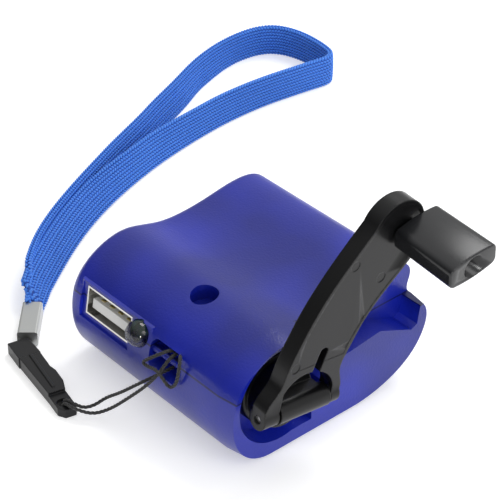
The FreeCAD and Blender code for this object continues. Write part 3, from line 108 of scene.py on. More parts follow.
# Finishes
@dataclass(frozen=True)
class Finish:
    """A finish with one shader, and with a grain, painted shade in patches and along a parting line, and
    soft edges where it has them.

    Attributes:
        name: The material's name.
        color: The base colour, linear red, green and blue.
        roughness: The gloss, from 0, polished, to 1, dull.
        metallic: 1 for bare metal.
        clear: How much light passes through.
        ior: The refractive index.
        grain: The height of the moulded grain, in metres.
        grain_size: The grain's size, in metres.
        sheen: The strength of a fabric's sheen.
        shade_patches: How much darker the patches of painted shade are, from 0 to 1; they stand in for the
            shade of the parts inside.
        shade_patch_size: The patches' size, in metres.
        shade_patch_from: The noise at which a patch is darkest.
        shade_patch_to: The noise at which the plastic has its full colour.
        shaded_seam: The height of the parting line, where shade is painted in as a dark line, in metres.
        shaded_seam_half: Half that line's width, in metres.
        shaded_seam_left: The share of the colour that is left on that line of painted shade.
        rounding: The radius that sharp edges are shaded with, in metres, on a finish with a grain.
    """

    name: str
    color: tuple[float, float, float]
    roughness: float = 0.4
    metallic: float = 0.0
    clear: float = 0.0
    ior: float = 1.5
    grain: float = 0.0
    grain_size: float = 0.0004
    sheen: float = 0.0
    shade_patches: float = 0.0
    shade_patch_size: float = 0.016
    shade_patch_from: float = 0.35
    shade_patch_to: float = 0.65
    shaded_seam: float = 0.0
    shaded_seam_half: float = 0.00017
    shaded_seam_left: float = 0.25
    rounding: float = 0.0

    def material(self) -> bpy.types.Material:
        """The finish's material, made once."""
        made = bpy.data.materials.get(self.name)
        if made:
            return made
        made = bpy.data.materials.new(self.name)
        made.use_nodes = True
        shader = made.node_tree.nodes["Principled BSDF"]
        shader.inputs["Base Color"].default_value = (*self.color, 1.0)
        shader.inputs["Roughness"].default_value = self.roughness
        shader.inputs["Metallic"].default_value = self.metallic
        shader.inputs["Transmission Weight"].default_value = self.clear
        shader.inputs["IOR"].default_value = self.ior
        shader.inputs["Sheen Weight"].default_value = self.sheen
        if self.grain:
            self._add_grain(made.node_tree, shader)
        if self.shade_patches:
            self._add_painted_shade(made.node_tree, shader)
        return made

    def _add_painted_shade(self, tree: bpy.types.NodeTree, shader: bpy.types.Node) -> None:
        """Paint shade into the colour, in soft patches and along the parting line.

        Args:
            tree: The material's nodes.
            shader: The shader that gets the colour.
        """
        place = tree.nodes.new("ShaderNodeTexCoord")
        noise = tree.nodes.new("ShaderNodeTexNoise")
        noise.inputs["Scale"].default_value = 1.0 / self.shade_patch_size
        noise.inputs["Detail"].default_value = 1.0
        # Painted shade: soft darker patches for the shaded parts inside the shell.
        patch_shade = tree.nodes.new("ShaderNodeMapRange")
        patch_shade.inputs["From Min"].default_value = self.shade_patch_from
        patch_shade.inputs["From Max"].default_value = self.shade_patch_to
        patch_shade.inputs["To Min"].default_value = 1.0 - self.shade_patches
        patch_shade.inputs["To Max"].default_value = 1.0
        split = tree.nodes.new("ShaderNodeSeparateXYZ")
        line = tree.nodes.new("ShaderNodeMath")
        line.operation = "COMPARE"
        line.inputs[1].default_value = self.shaded_seam
        line.inputs[2].default_value = self.shaded_seam_half
        # Painted shade: a dark line along the parting line.
        seam_shade = tree.nodes.new("ShaderNodeMapRange")
        seam_shade.inputs["To Min"].default_value = 1.0
        seam_shade.inputs["To Max"].default_value = self.shaded_seam_left
        both = tree.nodes.new("ShaderNodeMath")
        both.operation = "MULTIPLY"
        tint = tree.nodes.new("ShaderNodeVectorMath")
        tint.operation = "SCALE"
        tint.inputs[0].default_value = self.color
        tree.links.new(place.outputs["Object"], noise.inputs["Vector"])
        tree.links.new(place.outputs["Object"], split.inputs["Vector"])
        tree.links.new(noise.outputs["Fac"], patch_shade.inputs["Value"])
        tree.links.new(split.outputs["Z"], line.inputs[0])
        tree.links.new(line.outputs["Value"], seam_shade.inputs["Value"])
        tree.links.new(patch_shade.outputs["Result"], both.inputs[0])
        tree.links.new(seam_shade.outputs["Result"], both.inputs[1])
        tree.links.new(both.outputs["Value"], tint.inputs["Scale"])
        tree.links.new(tint.outputs["Vector"], shader.inputs["Base Color"])

    def _add_grain(self, tree: bpy.types.NodeTree, shader: bpy.types.Node) -> None:
        """Add a fine moulded grain to the shader, over softly shaded edges where the finish has them.

        Args:
            tree: The material's nodes.
            shader: The shader that gets the grain.
        """
        place = tree.nodes.new("ShaderNodeTexCoord")
        noise = tree.nodes.new("ShaderNodeTexNoise")
        noise.inputs["Scale"].default_value = 1.0 / self.grain_size
        noise.inputs["Detail"].default_value = 2.0
        bump = tree.nodes.new("ShaderNodeBump")
        bump.inputs["Strength"].default_value = 1.0
        bump.inputs["Distance"].default_value = self.grain
        if self.rounding:
            soft_edge = tree.nodes.new("ShaderNodeBevel")
            soft_edge.samples = 4
            soft_edge.inputs["Radius"].default_value = self.rounding
            tree.links.new(soft_edge.outputs["Normal"], bump.inputs["Normal"])
        tree.links.new(place.outputs["Object"], noise.inputs["Vector"])
        tree.links.new(noise.outputs["Fac"], bump.inputs["Height"])
        tree.links.new(bump.outputs["Normal"], shader.inputs["Normal"])


# The shells' blue carries painted shade: soft darker patches for the shaded parts inside, and a dark line
# along the parting line.
CLEAR_BLUE = Finish(
    "clear_blue_plastic", (0.011, 0.028, 0.56), 0.3, clear=0.42, ior=1.49, grain=0.00005, grain_size=0.0004,
    shade_patches=0.35, shaded_seam=0.01545,
)
SATIN_BLACK = Finish(
    "satin_black_plastic", (0.004, 0.004, 0.0045), 0.3, ior=1.36, grain=0.000008, rounding=0.0004,
)
KNOB_BLACK = Finish(
    "knob_black_plastic", (0.009, 0.0095, 0.011), 0.24, ior=1.5, grain=0.000005, rounding=0.0003,
)
CLIP_BLACK = Finish(
    "clip_black_plastic", (0.006, 0.006, 0.007), 0.36, ior=1.38, grain=0.00001, rounding=0.0003,
)
NICKEL = Finish("nickel_plate", (0.6, 0.59, 0.57), 0.2, metallic=1.0)
SATIN_NICKEL = Finish("satin_nickel", (0.5, 0.51, 0.5), 0.32, metallic=1.0)
STEEL = Finish("bright_steel", (0.6, 0.6, 0.61), 0.22, metallic=1.0)
# Dark steel for the knob's axle, whose head shows down the knob's bore.
DARK_STEEL = Finish("dark_axle_steel", (0.05, 0.05, 0.05), 0.5, metallic=1.0)
BRASS = Finish("turned_brass", (0.8, 0.6, 0.28), 0.25, metallic=1.0)
GOLD = Finish("gold_contact", (0.9, 0.66, 0.25), 0.2, metallic=1.0)
COPPER = Finish("copper_wire", (0.75, 0.3, 0.12), 0.3, metallic=1.0)
WHITE_PLASTIC = Finish("socket_white_plastic", (0.82, 0.82, 0.8), 0.4)
NYLON = Finish("natural_nylon", (0.75, 0.74, 0.68), 0.45)
GREY_PLASTIC = Finish("dark_grey_plastic", (0.06, 0.06, 0.07), 0.45)
BOARD_GREEN = Finish("board_green", (0.02, 0.11, 0.05), 0.35)
PART_BLACK = Finish("component_black", (0.015, 0.015, 0.015), 0.45)
CAN_METAL = Finish("can_aluminium", (0.6, 0.6, 0.62), 0.3, metallic=1.0)
FERRITE = Finish("ferrite", (0.05, 0.05, 0.05), 0.5)
IRON = Finish("core_iron", (0.3, 0.3, 0.31), 0.45, metallic=1.0)
RESIN = Finish("clear_resin", (0.96, 0.97, 1.0), 0.03, clear=1.0, ior=1.52)
RIBBON_BLUE = Finish("ribbon_blue_yarn", (0.05, 0.23, 0.8), 0.6, sheen=0.1)
# Painted shade: the core under the stitches is a darker copy of the ribbon's yarn, for the shade between the
# stitches.
RIBBON_PAINTED_SHADE = Finish("ribbon_painted_shade_yarn", (0.015, 0.07, 0.34), 0.8)
CORD_BLACK = Finish("cord_black_yarn", (0.012, 0.012, 0.012), 0.6, sheen=0.2)


def copy_of(node: bpy.types.Object, name: str) -> bpy.types.Object:
    """A merged copy of a solid, with its place in its mesh.

    Args:
        node: The solid to copy.
        name: The new piece's name.

    Returns:
        The new object, linked to the scene.
    """
    mesh = node.data.copy()
    mesh.name = name
    work = bmesh.new()
    work.from_mesh(mesh)
    bmesh.ops.remove_doubles(work, verts=work.verts, dist=MERGE_DISTANCE)
    bmesh.ops.dissolve_limit(
        work, angle_limit=math.radians(MERGE_ANGLE), verts=work.verts, edges=work.edges,
    )
    work.to_mesh(mesh)
    work.free()
    return link(mesh, name)


def link(mesh: bpy.types.Mesh, name: str) -> bpy.types.Object:
    """An object for a mesh, at the origin of the frame.

    Args:
        mesh: The mesh, placed in the frame.
        name: The object's name.

    Returns:
        The object, linked to the scene.
    """
    made = bpy.data.objects.new(name, mesh)
    bpy.context.scene.collection.objects.link(made)
    return made


def paint(piece: bpy.types.Object, finish: Finish) -> None:
    """Give the whole piece one finish, in place of what it has."""
    piece.data.materials.clear()
    piece.data.materials.append(finish.material())


def smooth(piece: bpy.types.Object, angle: float) -> None:
    """Shade a piece smooth, with its edges sharper than an angle kept.

    Args:
        piece: The piece, whose mesh is merged.
        angle: The angle in degrees.
    """
    mesh = piece.data
    mesh.shade_smooth()
    mesh.set_sharp_from_angle(angle=math.radians(angle))


def bevel(piece: bpy.types.Object, width: float) -> None:
    """Round the sharp edges of a piece.

    Args:
        piece: The piece, whose mesh is merged.
        width: The rounding's width in metres.
    """
    round_edges = piece.modifiers.new("rounded edges", "BEVEL")
    round_edges.width = width
    round_edges.segments = BEVEL_FACES
    round_edges.limit_method = "ANGLE"
    round_edges.angle_limit = math.radians(BEVEL_ANGLE)
    round_edges.harden_normals = True


def dress(name: str, body: Body, finish: Finish, width: float) -> bpy.types.Object:
    """Stand a smooth copy in for a solid.

    Args:
        name: The solid's node.
        body: The body that the piece rides on.
        finish: The piece's finish.
        width: The width of the rounded edges in metres, or 0 to leave them sharp.

    Returns:
        The new piece.
    """
    piece = copy_of(bpy.data.objects[name], "dressed_" + name)
    paint(piece, finish)
    smooth(piece, SMOOTH_ANGLE)
    if width:
        bevel(piece, width)
    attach(piece, body.value)
    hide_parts(name)
    log.info("%s dressed", name)
    return piece


def route_line(name: str, route: tuple[tuple[float, float, float], ...]) -> list[Vector]:
    """Read the smooth line of a cord's route.

    Args:
        name: A name for the line.
        route: The route's points, in metres.

    Returns:
        Points close together along the smooth line.
    """
    curve = bpy.data.curves.new(name + "_line", "CURVE")
    curve.dimensions = "3D"
    curve.resolution_u = LINE_STEPS
    spline = curve.splines.new("NURBS")
    spline.points.add(len(route) - 1)
    for spline_point, place in zip(spline.points, route):
        spline_point.co = (*place, 1.0)
    spline.order_u = 3
    spline.use_endpoint_u = True
    carrier = bpy.data.objects.new(name + "_line", curve)
    bpy.context.scene.collection.objects.link(carrier)
    read = bpy.data.meshes.new_from_object(carrier)
    line = [vertex.co.copy() for vertex in read.vertices]
    bpy.data.objects.remove(carrier)
    bpy.data.curves.remove(curve)
    bpy.data.meshes.remove(read)
    return line


def line_length(line: list[Vector]) -> float:
    """The length of a line in metres."""
    return sum((b - a).length for a, b in zip(line, line[1:]))


def spaced(line: list[Vector], step: float) -> list[Vector]:
    """Points at even steps along a line.

    Args:
        line: The line's points.
        step: The step wanted, in metres.

    Returns:
        Evenly spaced points from the line's start to its end.
    """
    total = line_length(line)
    count = max(2, round(total / step))
    marks = [total * index / count for index in range(count + 1)]
    found = []
    passed = 0.0
    mark = 0
    for a, b in zip(line, line[1:]):
        run = (b - a).length
        while mark <= count and marks[mark] <= passed + run + MARK_SLACK:
            share = (marks[mark] - passed) / run if run else 0.0
            found.append(a.lerp(b, min(1.0, share)))
            mark += 1
        passed += run
    if len(found) <= count:
        found.append(line[-1].copy())
    return found


def headings(line: list[Vector]) -> list[Vector]:
    """The direction of a line at each of its points.

    Args:
        line: The line's points.

    Returns:
        One unit vector for each point.
    """
    found = []
    for index in range(len(line)):
        before = line[max(0, index - 1)]
        after = line[min(len(line) - 1, index + 1)]
        found.append((after - before).normalized())
    return found


def tube_faces(rings: int, sides: int, start: int = 0) -> list[tuple[int, ...]]:
    """The faces of a closed tube of rings with the same number of points.

    Args:
        rings: The number of rings.
        sides: The number of points in each ring.
        start: The first ring's first point.

    Returns:
        The side faces and the two end faces.
    """
    faces = []
    for ring in range(rings - 1):
        for side in range(sides):
            a = start + ring * sides + side
            b = start + ring * sides + (side + 1) % sides
            faces.append((a, b, b + sides, a + sides))
    faces.append(tuple(start + side for side in reversed(range(sides))))
    faces.append(tuple(start + (rings - 1) * sides + side for side in range(sides)))
    return faces


@dataclass
class Twine:
    """A thin cord of twisted strands along a line.

    Attributes:
        strands: The number of strands.
        strand_radius: The radius of one strand, in metres.
        lay_radius: The distance of a strand's middle from the line, in metres.
        pitch: The length of one full twist, in metres.
        sides: The number of faces round a strand.
        rings_per_turn: The number of rings of points in one full twist.
    """

    strands: int = 3
    strand_radius: float = 0.00019
    lay_radius: float = 0.00016
    pitch: float = 0.0024
    sides: int = 7
    rings_per_turn: int = 12

    def build(self, name: str, line: list[Vector]) -> bpy.types.Object:
        """Make the twisted cord.

        Args:
            name: The piece's name.
            line: The line that it follows.

        Returns:
            The new piece.
        """
        step = self.pitch / self.rings_per_turn
        points = spaced(line, step)
        along = headings(points)
        side = along[0].orthogonal().normalized()
        vertices = []
        rings = []
        for place, heading in zip(points, along):
            side = (side - heading * side.dot(heading)).normalized()
            rings.append((place, heading, side.copy()))
        faces = []
        for strand in range(self.strands):
            start = len(vertices)
            for index, (place, heading, across) in enumerate(rings):
                turn = math.tau * (index * step / self.pitch + strand / self.strands)
                out = Matrix.Rotation(turn, 3, heading) @ across
                centre = place + out * self.lay_radius
                for corner in range(self.sides):
                    spoke = Matrix.Rotation(math.tau * corner / self.sides, 3, heading) @ out
                    vertices.append(centre + spoke * self.strand_radius)
            faces += tube_faces(len(rings), self.sides, start)
        mesh = bpy.data.meshes.new(name)
        mesh.from_pydata(vertices, [], faces)
        mesh.shade_smooth()
        return link(mesh, name)


class Braid:
    """A geometry tree that lays one raised stitch on every point of a band."""

    def __init__(self, name: str, finish: Finish) -> None:
        """Build the tree.

        Args:
            name: The tree's name.
            finish: The stitches' finish.
        """
        self.tree = bpy.data.node_groups.new(name, "GeometryNodeTree")
        face = self.tree.interface
        face.new_socket("Geometry", in_out="INPUT", socket_type="NodeSocketGeometry")
        self.length = face.new_socket("Stitch length", in_out="INPUT", socket_type="NodeSocketFloat")
        self.width = face.new_socket("Stitch width", in_out="INPUT", socket_type="NodeSocketFloat")
        self.height = face.new_socket("Stitch height", in_out="INPUT", socket_type="NodeSocketFloat")
        face.new_socket("Geometry", in_out="OUTPUT", socket_type="NodeSocketGeometry")
        self._wire(finish)

    def _wire(self, finish: Finish) -> None:
        """Lay out the tree's nodes and links.

        Args:
            finish: The stitches' finish.
        """
        nodes = self.tree.nodes
        links = self.tree.links
        given = nodes.new("NodeGroupInput")
        shown = nodes.new("NodeGroupOutput")
        bead = nodes.new("GeometryNodeMeshIcoSphere")
        bead.inputs["Radius"].default_value = 0.5
        bead.inputs["Subdivisions"].default_value = 1
        size = nodes.new("ShaderNodeCombineXYZ")
        shape = nodes.new("GeometryNodeTransform")
        out = nodes.new("GeometryNodeInputNamedAttribute")
        out.data_type = "FLOAT_VECTOR"
        out.inputs["Name"].default_value = "out"
        along = nodes.new("GeometryNodeInputNamedAttribute")
        along.data_type = "FLOAT_VECTOR"
        along.inputs["Name"].default_value = "along"
        stand = nodes.new("FunctionNodeAlignRotationToVector")
        stand.axis = "Z"
        turn = nodes.new("FunctionNodeAlignRotationToVector")
        turn.axis = "X"
        turn.pivot_axis = "Z"
        lay = nodes.new("GeometryNodeInstanceOnPoints")
        real = nodes.new("GeometryNodeRealizeInstances")
        shade = nodes.new("GeometryNodeSetShadeSmooth")
        colour = nodes.new("GeometryNodeSetMaterial")
        colour.inputs["Material"].default_value = finish.material()
        links.new(given.outputs["Stitch length"], size.inputs["X"])
        links.new(given.outputs["Stitch width"], size.inputs["Y"])
        links.new(given.outputs["Stitch height"], size.inputs["Z"])
        links.new(bead.outputs["Mesh"], shape.inputs["Geometry"])
        links.new(size.outputs["Vector"], shape.inputs["Scale"])
        links.new(out.outputs["Attribute"], stand.inputs["Vector"])
        links.new(stand.outputs["Rotation"], turn.inputs["Rotation"])
        links.new(along.outputs["Attribute"], turn.inputs["Vector"])
        links.new(given.outputs["Geometry"], lay.inputs["Points"])
        links.new(shape.outputs["Geometry"], lay.inputs["Instance"])
        links.new(turn.outputs["Rotation"], lay.inputs["Rotation"])
        links.new(lay.outputs["Instances"], real.inputs["Geometry"])
        links.new(real.outputs["Geometry"], shade.inputs["Geometry"])
        links.new(shade.outputs["Geometry"], colour.inputs["Geometry"])
        links.new(colour.outputs["Geometry"], shown.inputs["Geometry"])

    def lay_on(self, seeds: bpy.types.Object, sizes: tuple[float, float, float]) -> bpy.types.Mesh:
        """Lay the stitches on an object's points.

        Args:
            seeds: The object, whose points have the vectors out and along.
            sizes: A stitch's length, width and height in metres.

        Returns:
            The stitches as one plain mesh.
        """
        modifier = seeds.modifiers.new("stitches", "NODES")
        modifier.node_group = self.tree
        for socket, value in zip((self.length, self.width, self.height), sizes):
            modifier[socket.identifier] = value
        held = bpy.context.evaluated_depsgraph_get()
        mesh = bpy.data.meshes.new_from_object(seeds.evaluated_get(held))
        seeds.modifiers.remove(modifier)
        return mesh


@dataclass(frozen=True)
class Lie:
    """How the ribbon lies at one share of its length.

    Attributes:
        share: The share of the length from its start.
        foot: How far its lower edge stands in from the route, in metres.
        lean: How far its upper edge leans to the loop's inside, in degrees.
        width: The share of its full width.
    """

    share: float
    foot: float
    lean: float
    width: float = 1.0


@dataclass
class Ribbon:
    """The flat braided ribbon in its long loop.

    Attributes:
        width: The ribbon's width in metres.
        thickness: The thickness of its core in metres.
        puff: How far its faces swell in their middle, in metres.
        columns: The number of columns of stitches round it.
        stitch_step: The step between two stitches of a column, in metres.
        stitch: A stitch's length, width and height in metres.
        slant: The stitches' slant to the ribbon, in degrees.
        lies: How it lies from place to place.
    """

    width: float = 0.0072
    thickness: float = 0.00085
    puff: float = 0.00012
    columns: int = 20
    stitch_step: float = 0.00078
    stitch: tuple[float, float, float] = (0.00112, 0.00064, 0.0006)
    slant: float = 34.0
    lies: tuple[Lie, ...] = (
        Lie(0.0, 0.0, -2.0, 0.5), Lie(0.012, 0.0, -3.0, 0.62), Lie(0.035, 0.0, -8.0), Lie(0.2, 0.0002, -8.0),
        Lie(0.28, 0.0014, -13.0), Lie(0.33, 0.0017, -13.0), Lie(0.38, 0.0009, -8.0), Lie(0.44, 0.0, 0.0),
        Lie(0.6, 0.0, 0.0), Lie(0.7, 0.0, 6.0), Lie(0.78, 0.0, 16.0), Lie(0.87, 0.0, 32.0),
        Lie(0.97, -0.0002, 34.0), Lie(0.988, -0.0005, 36.0, 0.95), Lie(1.0, -0.0006, 30.0, 0.5),
    )

    def build(self) -> None:
        route = tuple((x, y, RIBBON_LIFT + self.width / 2) for x, y in RIBBON_ROUTE)
        line = route_line("ribbon", route)
        rings = self._rings(spaced(line, self.stitch_step))
        core = self._core(rings)
        stitches = self._stitches(rings)
        for piece in (core, stitches):
            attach(piece, Body.CASE.value)
        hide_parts("ribbon_strap")
        length = line_length(line) * 1000
        log.info("ribbon_core of %.1f mm, with ribbon_stitches in %d rows", length, len(rings))

    def _lie_at(self, share: float) -> Lie:
        """How the ribbon lies at a share of its length.

        Args:
            share: The share of the length from its start.

        Returns:
            The lie there, eased between the two nearest given ones.
        """
        for before, after in zip(self.lies, self.lies[1:]):
            if share <= after.share:
                part = (share - before.share) / (after.share - before.share)
                ease = part * part * (3.0 - 2.0 * part)
                return Lie(
                    share,
                    before.foot + (after.foot - before.foot) * ease,
                    before.lean + (after.lean - before.lean) * ease,
                    before.width + (after.width - before.width) * ease,
                )
        return self.lies[-1]

    def _section(self, width: float) -> list[tuple[float, float, float, float]]:
        """The ribbon's cross-section at one width.

        Args:
            width: The width in metres.

        Returns:
            For each column, its place up the width and out of the face, and the face's direction there.
        """
        radius = self.thickness / 2
        flat = width - self.thickness
        around = 2 * flat + math.tau * radius
        found = []
        for column in range(self.columns):
            place = around * (column + 0.5) / self.columns
            if place < flat:
                rise = place - flat / 2
                found.append((rise, radius + self._swell(rise, flat), 0.0, 1.0))
            elif place < flat + math.pi * radius:
                turn = (place - flat) / radius
                tilt = math.sin(turn)
                face = math.cos(turn)
                found.append((flat / 2 + radius * tilt, radius * face, tilt, face))
            elif place < 2 * flat + math.pi * radius:
                rise = flat / 2 - (place - flat - math.pi * radius)
                found.append((rise, -radius - self._swell(rise, flat), 0.0, -1.0))
            else:
                turn = (place - 2 * flat) / radius
                tilt = math.sin(turn)
                face = math.cos(turn)
                found.append((-flat / 2 + radius * tilt, radius * face, tilt, face))
        return found

    def _swell(self, rise: float, flat: float) -> float:
        """How far a face swells at a place up the width."""
        return self.puff * (1.0 - (2.0 * rise / flat) ** 2)

    def _rings(self, points: list[Vector]) -> list[list[tuple[Vector, Vector, Vector]]]:
        """The band's columns at every point of its line.

        Args:
            points: Evenly spaced points of the line.

        Returns:
            For each point, each column's place, outward direction and heading.
        """
        rings = []
        for index, (place, heading) in enumerate(zip(points, headings(points))):
            lie = self._lie_at(index / (len(points) - 1))
            inward = heading.cross(UP).normalized()
            lean = math.radians(lie.lean)
            rise = UP * math.cos(lean) + inward * math.sin(lean)
            out = heading.cross(rise).normalized()
            width = self.width * lie.width
            foot = Vector((place.x, place.y, RIBBON_LIFT + self.thickness / 2 * abs(math.sin(lean))))
            middle = foot + inward * lie.foot + rise * (width / 2)
            ring = []
            for up_width, off_face, tilt, face in self._section(width):
                ring.append((middle + rise * up_width + out * off_face, rise * tilt + out * face, heading))
            rings.append(ring)
        return rings

    def _core(self, rings: list[list[tuple[Vector, Vector, Vector]]]) -> bpy.types.Object:
        """The smooth band under the stitches, in a darker copy of the yarn with the shade between them
        painted in.

        Args:
            rings: For each point of the line, each column's place, outward direction and heading.

        Returns:
            The new piece.
        """
        vertices = [place for ring in rings for place, _, _ in ring]
        mesh = bpy.data.meshes.new("ribbon_core")
        mesh.from_pydata(vertices, [], tube_faces(len(rings), self.columns))
        mesh.shade_smooth()
        core = link(mesh, "ribbon_core")
        paint(core, RIBBON_PAINTED_SHADE)
        return core

    def _stitches(self, rings: list[list[tuple[Vector, Vector, Vector]]]) -> bpy.types.Object:
        """The raised stitches, one on each column of each ring.

        Args:
            rings: For each point of the line, each column's place, outward direction and heading.

        Returns:
            The new piece.
        """
        places = []
        outs = []
        alongs = []
        slant = math.radians(self.slant)
        for ring, after in zip(rings, rings[1:]):
            for column, ((place, out, heading), (ahead, _, _)) in enumerate(zip(ring, after)):
                places.append(place.lerp(ahead, 0.5) if column % 2 else place)
                outs.append(out)
                alongs.append(Matrix.Rotation(slant if column % 2 else -slant, 3, out) @ heading)
        mesh = bpy.data.meshes.new("ribbon_seeds")
        mesh.from_pydata(places, [], [])
        for name, vectors in (("out", outs), ("along", alongs)):
            attribute = mesh.attributes.new(name, "FLOAT_VECTOR", "POINT")
            attribute.data.foreach_set("vector", [part for vector in vectors for part in vector])
        seeds = link(mesh, "ribbon_seeds")
        stitches = link(Braid("ribbon_braid", RIBBON_BLUE).lay_on(seeds, self.stitch), "ribbon_stitches")
        bpy.data.objects.remove(seeds)
        return stitches


@dataclass
class Cord:
    """The thin cord of the strap, with its knot round the lug.

    Attributes:
        diameter: The cord's diameter in metres; not used, the twine's strands give the cord its size.
    """

    diameter: float = 0.00066

    def build(self) -> None:
        twine = Twine()
        line = route_line("cord", CORD_ROUTE)
        cord = twine.build("cord_twine", line)
        knot = twine.build("cord_hitch", route_line("hitch", HITCH_ROUTE))
        for piece in (cord, knot):
            paint(piece, CORD_BLACK)
            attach(piece, Body.CASE.value)
        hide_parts("strap_cord")
        log.info("cord_twine of %.1f mm, with cord_hitch", line_length(line) * 1000)


@dataclass
class Case:
    """The two clear shells and the lamp beside the socket.

    Attributes:
        edge: The width of the shells' rounded edges, in metres.
    """

    edge: float = 0.00018

    def build(self) -> None:
        """Dress the shells and the lamp."""
        for name in ("bottom_shell", "top_shell"):
            dress(name, Body.CASE, CLEAR_BLUE, self.edge)
        lamp = dress("led", Body.CASE, RESIN, 0.0)
        smooth(lamp, ROUND_SMOOTH_ANGLE)


@dataclass
class Crank:
    """The hub, the folding arm and the turning grip.

    Attributes:
        pin: A point on the hinge pin's axis, in metres.
        dip: The pin's dip in degrees.
        lean: The arm's lean out of the upright in degrees.
        sunk: How far from the pin's plane the arm's sunk face lies, in metres.
        marks: How far from the pin's plane the floors of its round marks lie, in metres.
        raised: How far the visual model fills that face up, in metres.
        marks_raised: How far it fills the marks up, in metres.
        slack: How far a point may be from a face and still be taken as on it, in metres.
        hub_edge: The width of the hub's rounded edges, in metres.
        arm_smooth: The angle below which the arm's edges are shaded smooth, in degrees.
    """

    pin: tuple[float, float, float] = (0.0268, -0.0126, 0.0126)
    dip: float = 8.0
    lean: float = 5.0
    sunk: float = 0.00125
    marks: float = 0.00105
    raised: float = 0.00031
    marks_raised: float = 0.00043
    slack: float = 0.00002
    hub_edge: float = 0.0002
    arm_smooth: float = 30.0

    def build(self) -> None:
        """Dress the crank's pieces."""
        dress("crank_hub", Body.CRANK, SATIN_BLACK, self.hub_edge)
        arm = dress("crank_arm", Body.ARM, SATIN_BLACK, 0.0)
        self._fill_face(arm)
        smooth(arm, self.arm_smooth)
        knob = dress("knob", Body.GRIP, KNOB_BLACK, 0.0)
        smooth(knob, ROUND_SMOOTH_ANGLE)

    def _fill_face(self, arm: bpy.types.Object) -> None:
        """Raise the arm's sunk face, so that a fine step is left around it.

        Args:
            arm: The arm's piece.
        """
        dip = Matrix.Rotation(-math.radians(self.dip), 3, "X")
        tilt = dip @ Matrix.Rotation(math.radians(self.lean), 3, "Y")
        back = tilt.inverted()
        pin = Vector(self.pin)
        for vertex in arm.data.vertices:
            height = (back @ (vertex.co - pin)).x
            if abs(height - self.sunk) < self.slack:
                vertex.co += tilt @ Vector((self.raised, 0.0, 0.0))
            elif abs(height - self.marks) < self.slack:
                vertex.co += tilt @ Vector((self.marks_raised, 0.0, 0.0))


class SolidFinishes:
    """The finishes of the solids that show as they are."""

    def build(self) -> None:
        """Paint the solids, finish by finish."""
        painted = {
            NICKEL: ("usb_shell",),
            WHITE_PLASTIC: ("usb_tongue",),
            GOLD: ("usb_contacts",),
            BOARD_GREEN: ("circuit_board",),
            PART_BLACK: ("rectifier_diodes", "regulator", "resistors"),
            CAN_METAL: ("capacitor",),
            NYLON: ("drive_gear", "first_idler", "second_idler", "rotor_pinion", "coil_bobbin"),
            GREY_PLASTIC: ("inner_gear_plate", "outer_gear_plate", "generator_bracket", "gearbox_pillars"),
            STEEL: (
                "crank_shaft", "hinge_pin", "first_idler_pin", "second_idler_pin", "rotor_shaft",
                "case_screws", "gearbox_screws",
            ),
            DARK_STEEL: ("knob_axle",),
            BRASS: ("shaft_bush",),
            FERRITE: ("magnet_rotor",),
            IRON: ("stator_core",),
            COPPER: ("coil_winding",),
            CLIP_BLACK: ("clip_body", "clip_collar"),
            SATIN_NICKEL: ("strap_ferrule",),
        }
        for finish, names in painted.items():
            for name in names:
                paint(bpy.data.objects[name], finish)
                log.info("%s painted %s", name, finish.name)


@dataclass(frozen=True)
class Lamp:
    """A square soft lamp that points at the object.

    Attributes:
        name: The lamp's name.
        place: Its place in metres.
        size: Its side in metres.
        power: Its power in watts.
    """

    name: str
    place: tuple[float, float, float]
    size: float
    power: float


